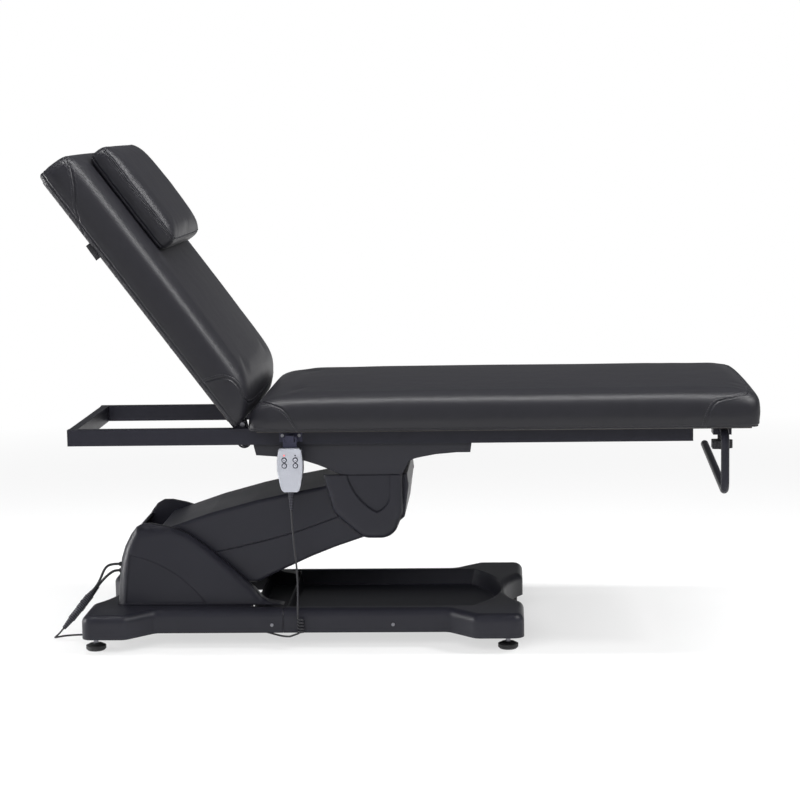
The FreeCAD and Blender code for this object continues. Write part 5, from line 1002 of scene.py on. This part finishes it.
def upholster(pad, body, seams, hems, node, plain=()):
    """Sews the pad's seams and hems, adds their stitches, hides the frame cushion that it takes the place of,
    and puts it on its body.
    """
    own = settings()
    thread = bpy.data.materials.get("thread") or thread_finish()
    tree = tree_over(pad.data)
    sewn = [onto(tree, smooth_line(points, 0.001))[0] for points in seams]
    sewn += [onto(tree, even_steps(contour(pad.data, *plane), 0.001))[0] for plane in hems]
    rows = [beside(tree, line, own.stitch_aside) for line in sewn]
    sewn += [onto(tree, even_steps(contour(pad.data, *plane), 0.001))[0] for plane in plain]
    refined(pad, sewn + rows)
    tree = tree_over(pad.data)
    sewn = [onto(tree, line)[0] for line in sewn]
    rows = [onto(tree, line)[0] for line in rows]
    sew(pad, sewn, rows, own.seam_depth)
    for number, line in enumerate(rows):
        stitch_row(f"{pad.name}_stitches_{number}", pad, line, body, thread)
    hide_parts(node)
    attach(pad, body)


def welt(name, pad, plane, radius, body, sides=10):
    """Piping round the pad where a plane cuts it."""
    on, out = onto(tree_over(pad.data), even_steps(contour(pad.data, *plane), 0.004)[:-1])
    side = unit(np.cross(unit(np.roll(on, -1, axis=0) - np.roll(on, 1, axis=0)), out))
    turns = np.linspace(0, 2 * math.pi, sides, endpoint=False)[None, :, None]
    ring = np.cos(turns) * out[:, None, :] + np.sin(turns) * side[:, None, :]
    co = (on + out * 0.35 * radius)[:, None, :] + radius * ring
    mesh = mesh_of(name, co.reshape(-1, 3).tolist(), lattice(len(on), sides, closed=True))
    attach(new_piece(name, mesh, bpy.data.materials["vinyl"]), body)


def blank_tag():
    """A folded loop of black ribbon sewn into the back's rear hem, with nothing on it."""
    foot = BACK_HINGE + BACK_ALONG * 0.522 + Vector((0.0, -0.3085, 0.0))
    length, drop, half, rows = 0.042, 0.0145, 0.0008, 12
    turns = np.linspace(0, math.pi, 7)
    fold = [(-drop + half - half * math.sin(turn), half * math.cos(turn)) for turn in turns]
    outline = [(0.0, half), *fold, (0.0, -half)]
    co = []
    for i in range(rows + 1):
        share = i / rows
        bulge = 0.0009 * math.sin(math.pi * share)
        for down, aside in outline:
            wave = 0.0007 * math.sin(3.0 * math.pi * share + 60.0 * down)
            point = foot + BACK_ALONG * (length * share) + BACK_FRONT * (down + 0.0015 * (share - 0.5))
            co.append(point + Vector((0.0, aside * (1 + bulge / half) + wave, 0.0)))
    mesh = mesh_of("blank_tag", co, lattice(rows + 1, len(outline), around=False))
    tag = new_piece("blank_tag", mesh, ribbon_finish())
    tag.modifiers.new("thick", "SOLIDIFY").thickness = 0.0005
    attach(tag, "backrest")


def rear_of(node, direction):
    """A point on the plane that touches the node from behind, with the direction as its normal."""
    reach = positions(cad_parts[node].data) @ np.array(direction)
    return direction * float(reach.min())


class CHAIR_OT_seat_cushion(bpy.types.Operator):
    """Makes the seat cushion with its end panels, seams and stitches"""

    bl_idname = "chair.seat_cushion"
    bl_label = "Seat cushion"

    def execute(self, context):
        low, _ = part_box("seat_cushion")
        board, hem, up = (0, 0, low.z), (0, 0, low.z + 0.007), (0, 0, 1)
        pad = swollen_pad("seat_cushion", "seat_upholstery", 0.0078, settings().seat_swell, (board, up))
        fuller(pad, towards=(-0.009, 0.0, 0.004), centre=(-0.350, 0.0, 0.605), reach=(0.045, 9.0, 0.040))
        leave_room(pad, bpy.data.objects["back_upholstery"], BACK_HINGE, BACK_UPRIGHT, -PADS_PRESS)
        side = low.y
        head = [
            (-0.2436, side, 0.542), (-0.2598, side, 0.5735), (-0.2804, side, 0.5986), (-0.3014, side, 0.6150),
            (-0.322, -0.306, 0.622), (-0.338, -0.28, 0.620), (-0.343, -0.2, 0.620), (-0.344, -0.07, 0.622)]
        foot = [
            (0.7135, side, 0.542), (0.7202, side, 0.5723), (0.7379, side, 0.605), (0.7646, side, 0.622),
            (0.795, -0.31, 0.626), (0.818, -0.285, 0.622), (0.826, -0.2, 0.622), (0.828, -0.07, 0.624)]
        upholster(
            pad, "top", [mirrored(head), mirrored(foot)], [], "seat_cushion", plain=[(hem, up)])
        return {"FINISHED"}


class CHAIR_OT_back_cushion(bpy.types.Operator):
    """Makes the back cushion with its end panels, seams, stitches and blank tag"""

    bl_idname = "chair.back_cushion"
    bl_label = "Back cushion"

    def execute(self, context):
        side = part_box("backrest_cushion")[0].y
        board = rear_of("backrest_cushion", BACK_FRONT)
        hem = board + BACK_FRONT * 0.014
        pad = swollen_pad(
            "backrest_cushion", "back_upholstery", 0.0074, settings().back_swell, (board, BACK_FRONT))
        fuller(pad, towards=(0.004, 0.0, 0.0), centre=(-0.375, 0.0, 0.64), reach=(0.06, 9.0, 0.07))
        crown = [
            (-0.745, side, 1.0147), (-0.7518, side, 1.0457), (-0.7581, side, 1.0889), (-0.7601, side, 1.1356),
            (-0.7687, side + 0.01, 1.1749), (-0.781, -0.295, 1.193), (-0.787, -0.2, 1.198),
            (-0.787, -0.07, 1.2)]
        foot = [
            (-0.477, side, 0.6629), (-0.4331, side, 0.6756), (-0.4054, side, 0.6734), (-0.382, side, 0.6571),
            (-0.3745, -0.31, 0.6332), (-0.374, -0.28, 0.612), (-0.374, -0.2, 0.604), (-0.374, -0.07, 0.602)]
        upholster(
            pad, "backrest", [mirrored(crown), mirrored(foot)], [(hem, BACK_FRONT)], "backrest_cushion")
        blank_tag()
        return {"FINISHED"}


class CHAIR_OT_head_pillow(bpy.types.Operator):
    """Makes the loose head pillow with its gusset and stitched edges"""

    bl_idname = "chair.head_pillow"
    bl_label = "Head pillow"

    def execute(self, context):
        rear = rear_of("head_pillow", BACK_FRONT)
        thickness = rear_of("head_pillow", -BACK_FRONT).dot(BACK_FRONT) - rear.dot(BACK_FRONT)
        face = (rear + BACK_FRONT * 0.74 * thickness, BACK_FRONT)
        underside = (rear + BACK_FRONT * 0.18 * thickness, BACK_FRONT)
        behind = (rear - BACK_FRONT * 0.02, BACK_FRONT)
        pad = swollen_pad("head_pillow", "pillow_upholstery", 0.0052, settings().pillow_swell, behind)
        upholster(pad, "pillow", [], [face], "head_pillow", plain=[underside])
        welt("pillow_welt", pad, face, 0.0019, "pillow")
        return {"FINISHED"}


# ---------------------------------------------------------------- finishes, stage, camera

class CHAIR_OT_finishes(bpy.types.Operator):
    """Gives every rigid part of the frame its finish"""

    bl_idname = "chair.finishes"
    bl_label = "Finishes"

    def execute(self, context):
        made = {
            "moulding": moulding_finish(),
            "powder_coat": coat_finish(),
            "black_plastic": moulding_finish("black_plastic", (0.018, 0.018, 0.020), 0.42, 0.0015),
            "hook_plastic": moulding_finish("hook_plastic", (0.026, 0.026, 0.048), 0.36, 0.001),
            "ridged_rubber": relief_finish(),
            "ribbed_rubber": relief_finish("ribbed_rubber", "DIAGONAL"),
            "steel": steel_finish(),
            "rubber": rubber_finish(),
            "plywood": plywood_finish(),
            "handset_shell": shell_finish(),
            "button": button_finish(),
            "lamp": lamp_finish(),
        }
        for finish, nodes in finish_nodes().items():
            for node in nodes:
                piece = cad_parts[node]
                if not piece.material_slots:
                    piece.data.materials.append(None)
                for slot in piece.material_slots:
                    slot.material = made[finish]
        return {"FINISHED"}


def soft_box(name, place, target, size, power):
    light = bpy.data.lights.new(name, "AREA")
    light.shape = "RECTANGLE"
    light.size, light.size_y = size
    light.energy = power
    lamp = bpy.data.objects.new(name, light)
    bpy.context.scene.collection.objects.link(lamp)
    lamp.location = place
    lamp.rotation_mode = "QUATERNION"
    lamp.rotation_quaternion = (Vector(target) - Vector(place)).to_track_quat("-Z", "Y")


def seen_directly(nodes, reflected=None):
    """One for the camera, for what shows through glass and for reflections, and nothing for other light."""
    path = nodes.node("ShaderNodeLightPath").outputs
    glossy = Number(nodes, path["Is Glossy Ray"])
    if reflected is not None:
        glossy = glossy * reflected
    return Number(nodes, path["Is Camera Ray"]).larger(path["Is Transmission Ray"]).larger(glossy)


def surroundings():
    """White walls for what is seen directly, darker higher up in reflections, and dim as a light."""
    world = bpy.data.worlds.new("surroundings")
    nodes = empty_nodes(world)
    dim = nodes.node("ShaderNodeBackground", {}, {"Color": (0.96, 0.98, 1.0, 1.0), "Strength": 0.14})
    white = nodes.node("ShaderNodeBackground", {}, {"Color": (1.0, 1.0, 1.0, 1.0), "Strength": 1.0})
    direction = nodes.node("ShaderNodeTexCoord").outputs["Generated"]
    upward = nodes.node("ShaderNodeSeparateXYZ", {}, {0: direction}).outputs["Z"]
    low_down = nodes.fade(upward, 0.01, 0.10, 1.0, 0.0, "SMOOTHSTEP")
    nodes.mix_shaders(seen_directly(nodes, low_down), dim, white, "ShaderNodeOutputWorld")
    return world


def floor_finish():
    """Pale and matt, and glowing where it is seen directly, more so further out, so that it has no edge."""
    material = bpy.data.materials.new("studio_floor")
    nodes = empty_nodes(material)
    matt = nodes.node("ShaderNodeBsdfDiffuse", {}, {"Color": (0.93, 0.93, 0.93, 1.0)})
    glow = nodes.node("ShaderNodeEmission", {}, {"Strength": 1.0})
    place = nodes.node("ShaderNodeTexCoord").outputs["Object"]
    away = nodes.node("ShaderNodeVectorMath", {"operation": "LENGTH"}, {0: place}).outputs["Value"]
    share = nodes.fade(away, 1.4, 4.0, 0.62, 1.0) * seen_directly(nodes)
    nodes.mix_shaders(share, matt, glow, "ShaderNodeOutputMaterial")
    return material


class CHAIR_OT_stage(bpy.types.Operator):
    """Makes the pale floor, the white surroundings and the soft lamps"""

    bl_idname = "chair.stage"
    bl_label = "Stage"

    def execute(self, context):
        scene = context.scene
        scene.view_settings.view_transform = "Standard"
        scene.world = surroundings()
        mesh = bpy.data.meshes.new("floor")
        bm = bmesh.new()
        bmesh.ops.create_circle(bm, cap_ends=True, segments=96, radius=30.0)
        bm.to_mesh(mesh)
        bm.free()
        mesh.materials.append(floor_finish())
        floor = bpy.data.objects.new("floor", mesh)
        scene.collection.objects.link(floor)
        for name, choices in LAMPS.items():
            soft_box(name, *choices)
        bpy.data.objects["front"].visible_glossy = False
        return {"FINISHED"}


class CHAIR_OT_camera(bpy.types.Operator):
    """Sets the camera where the photograph was taken from"""

    bl_idname = "chair.camera"
    bl_label = "Camera"

    def execute(self, context):
        level = Vector((math.cos(CAMERA_YAW), math.sin(CAMERA_YAW), 0.0))
        onward = Vector((-level.y, level.x, 0.0))
        ahead = math.cos(CAMERA_PITCH) * onward - Vector((0.0, 0.0, math.sin(CAMERA_PITCH)))
        above = level.cross(ahead)
        right = math.cos(CAMERA_ROLL) * level + math.sin(CAMERA_ROLL) * above
        up = math.cos(CAMERA_ROLL) * above - math.sin(CAMERA_ROLL) * level
        data = bpy.data.cameras.new("camera")
        data.sensor_width = 36.0
        data.lens = CAMERA_LENS
        data.clip_end = 100.0
        camera = bpy.data.objects.new("camera", data)
        context.scene.collection.objects.link(camera)
        turn = Matrix((right, up, -ahead)).transposed()
        camera.matrix_world = Matrix.Translation(CAMERA_PLACE) @ turn.to_4x4()
        context.scene.camera = camera
        return {"FINISHED"}


class CHAIR_PT_dressing(bpy.types.Panel):
    """Sidebar panel with the chair's operators and settings"""

    bl_idname = "CHAIR_PT_dressing"
    bl_label = "Chair"
    bl_space_type = "VIEW_3D"
    bl_region_type = "UI"
    bl_category = "Chair"

    def draw(self, context):
        for operator in OPERATORS:
            self.layout.operator(operator.bl_idname)
        own = context.scene.chair_settings
        for name in ChairSettings.__annotations__:
            self.layout.prop(own, name)


OPERATORS = (
    CHAIR_OT_camera, CHAIR_OT_cords, CHAIR_OT_finishes, CHAIR_OT_covers, CHAIR_OT_back_cushion,
    CHAIR_OT_seat_cushion, CHAIR_OT_head_pillow, CHAIR_OT_stage)
CLASSES = (ChairSettings, *OPERATORS, CHAIR_PT_dressing)


def register():
    for made in CLASSES:
        bpy.utils.register_class(made)
    bpy.types.Scene.chair_settings = PointerProperty(type=ChairSettings)


def unregister():
    del bpy.types.Scene.chair_settings
    for made in reversed(CLASSES):
        bpy.utils.unregister_class(made)


def main():
    register()
    bpy.ops.chair.camera()
    bpy.ops.chair.cords()
    bpy.ops.chair.finishes()
    bpy.ops.chair.covers()
    bpy.ops.chair.back_cushion()
    bpy.ops.chair.seat_cushion()
    bpy.ops.chair.head_pillow()
    bpy.ops.chair.stage()


if __name__ == "__main__":
    main()
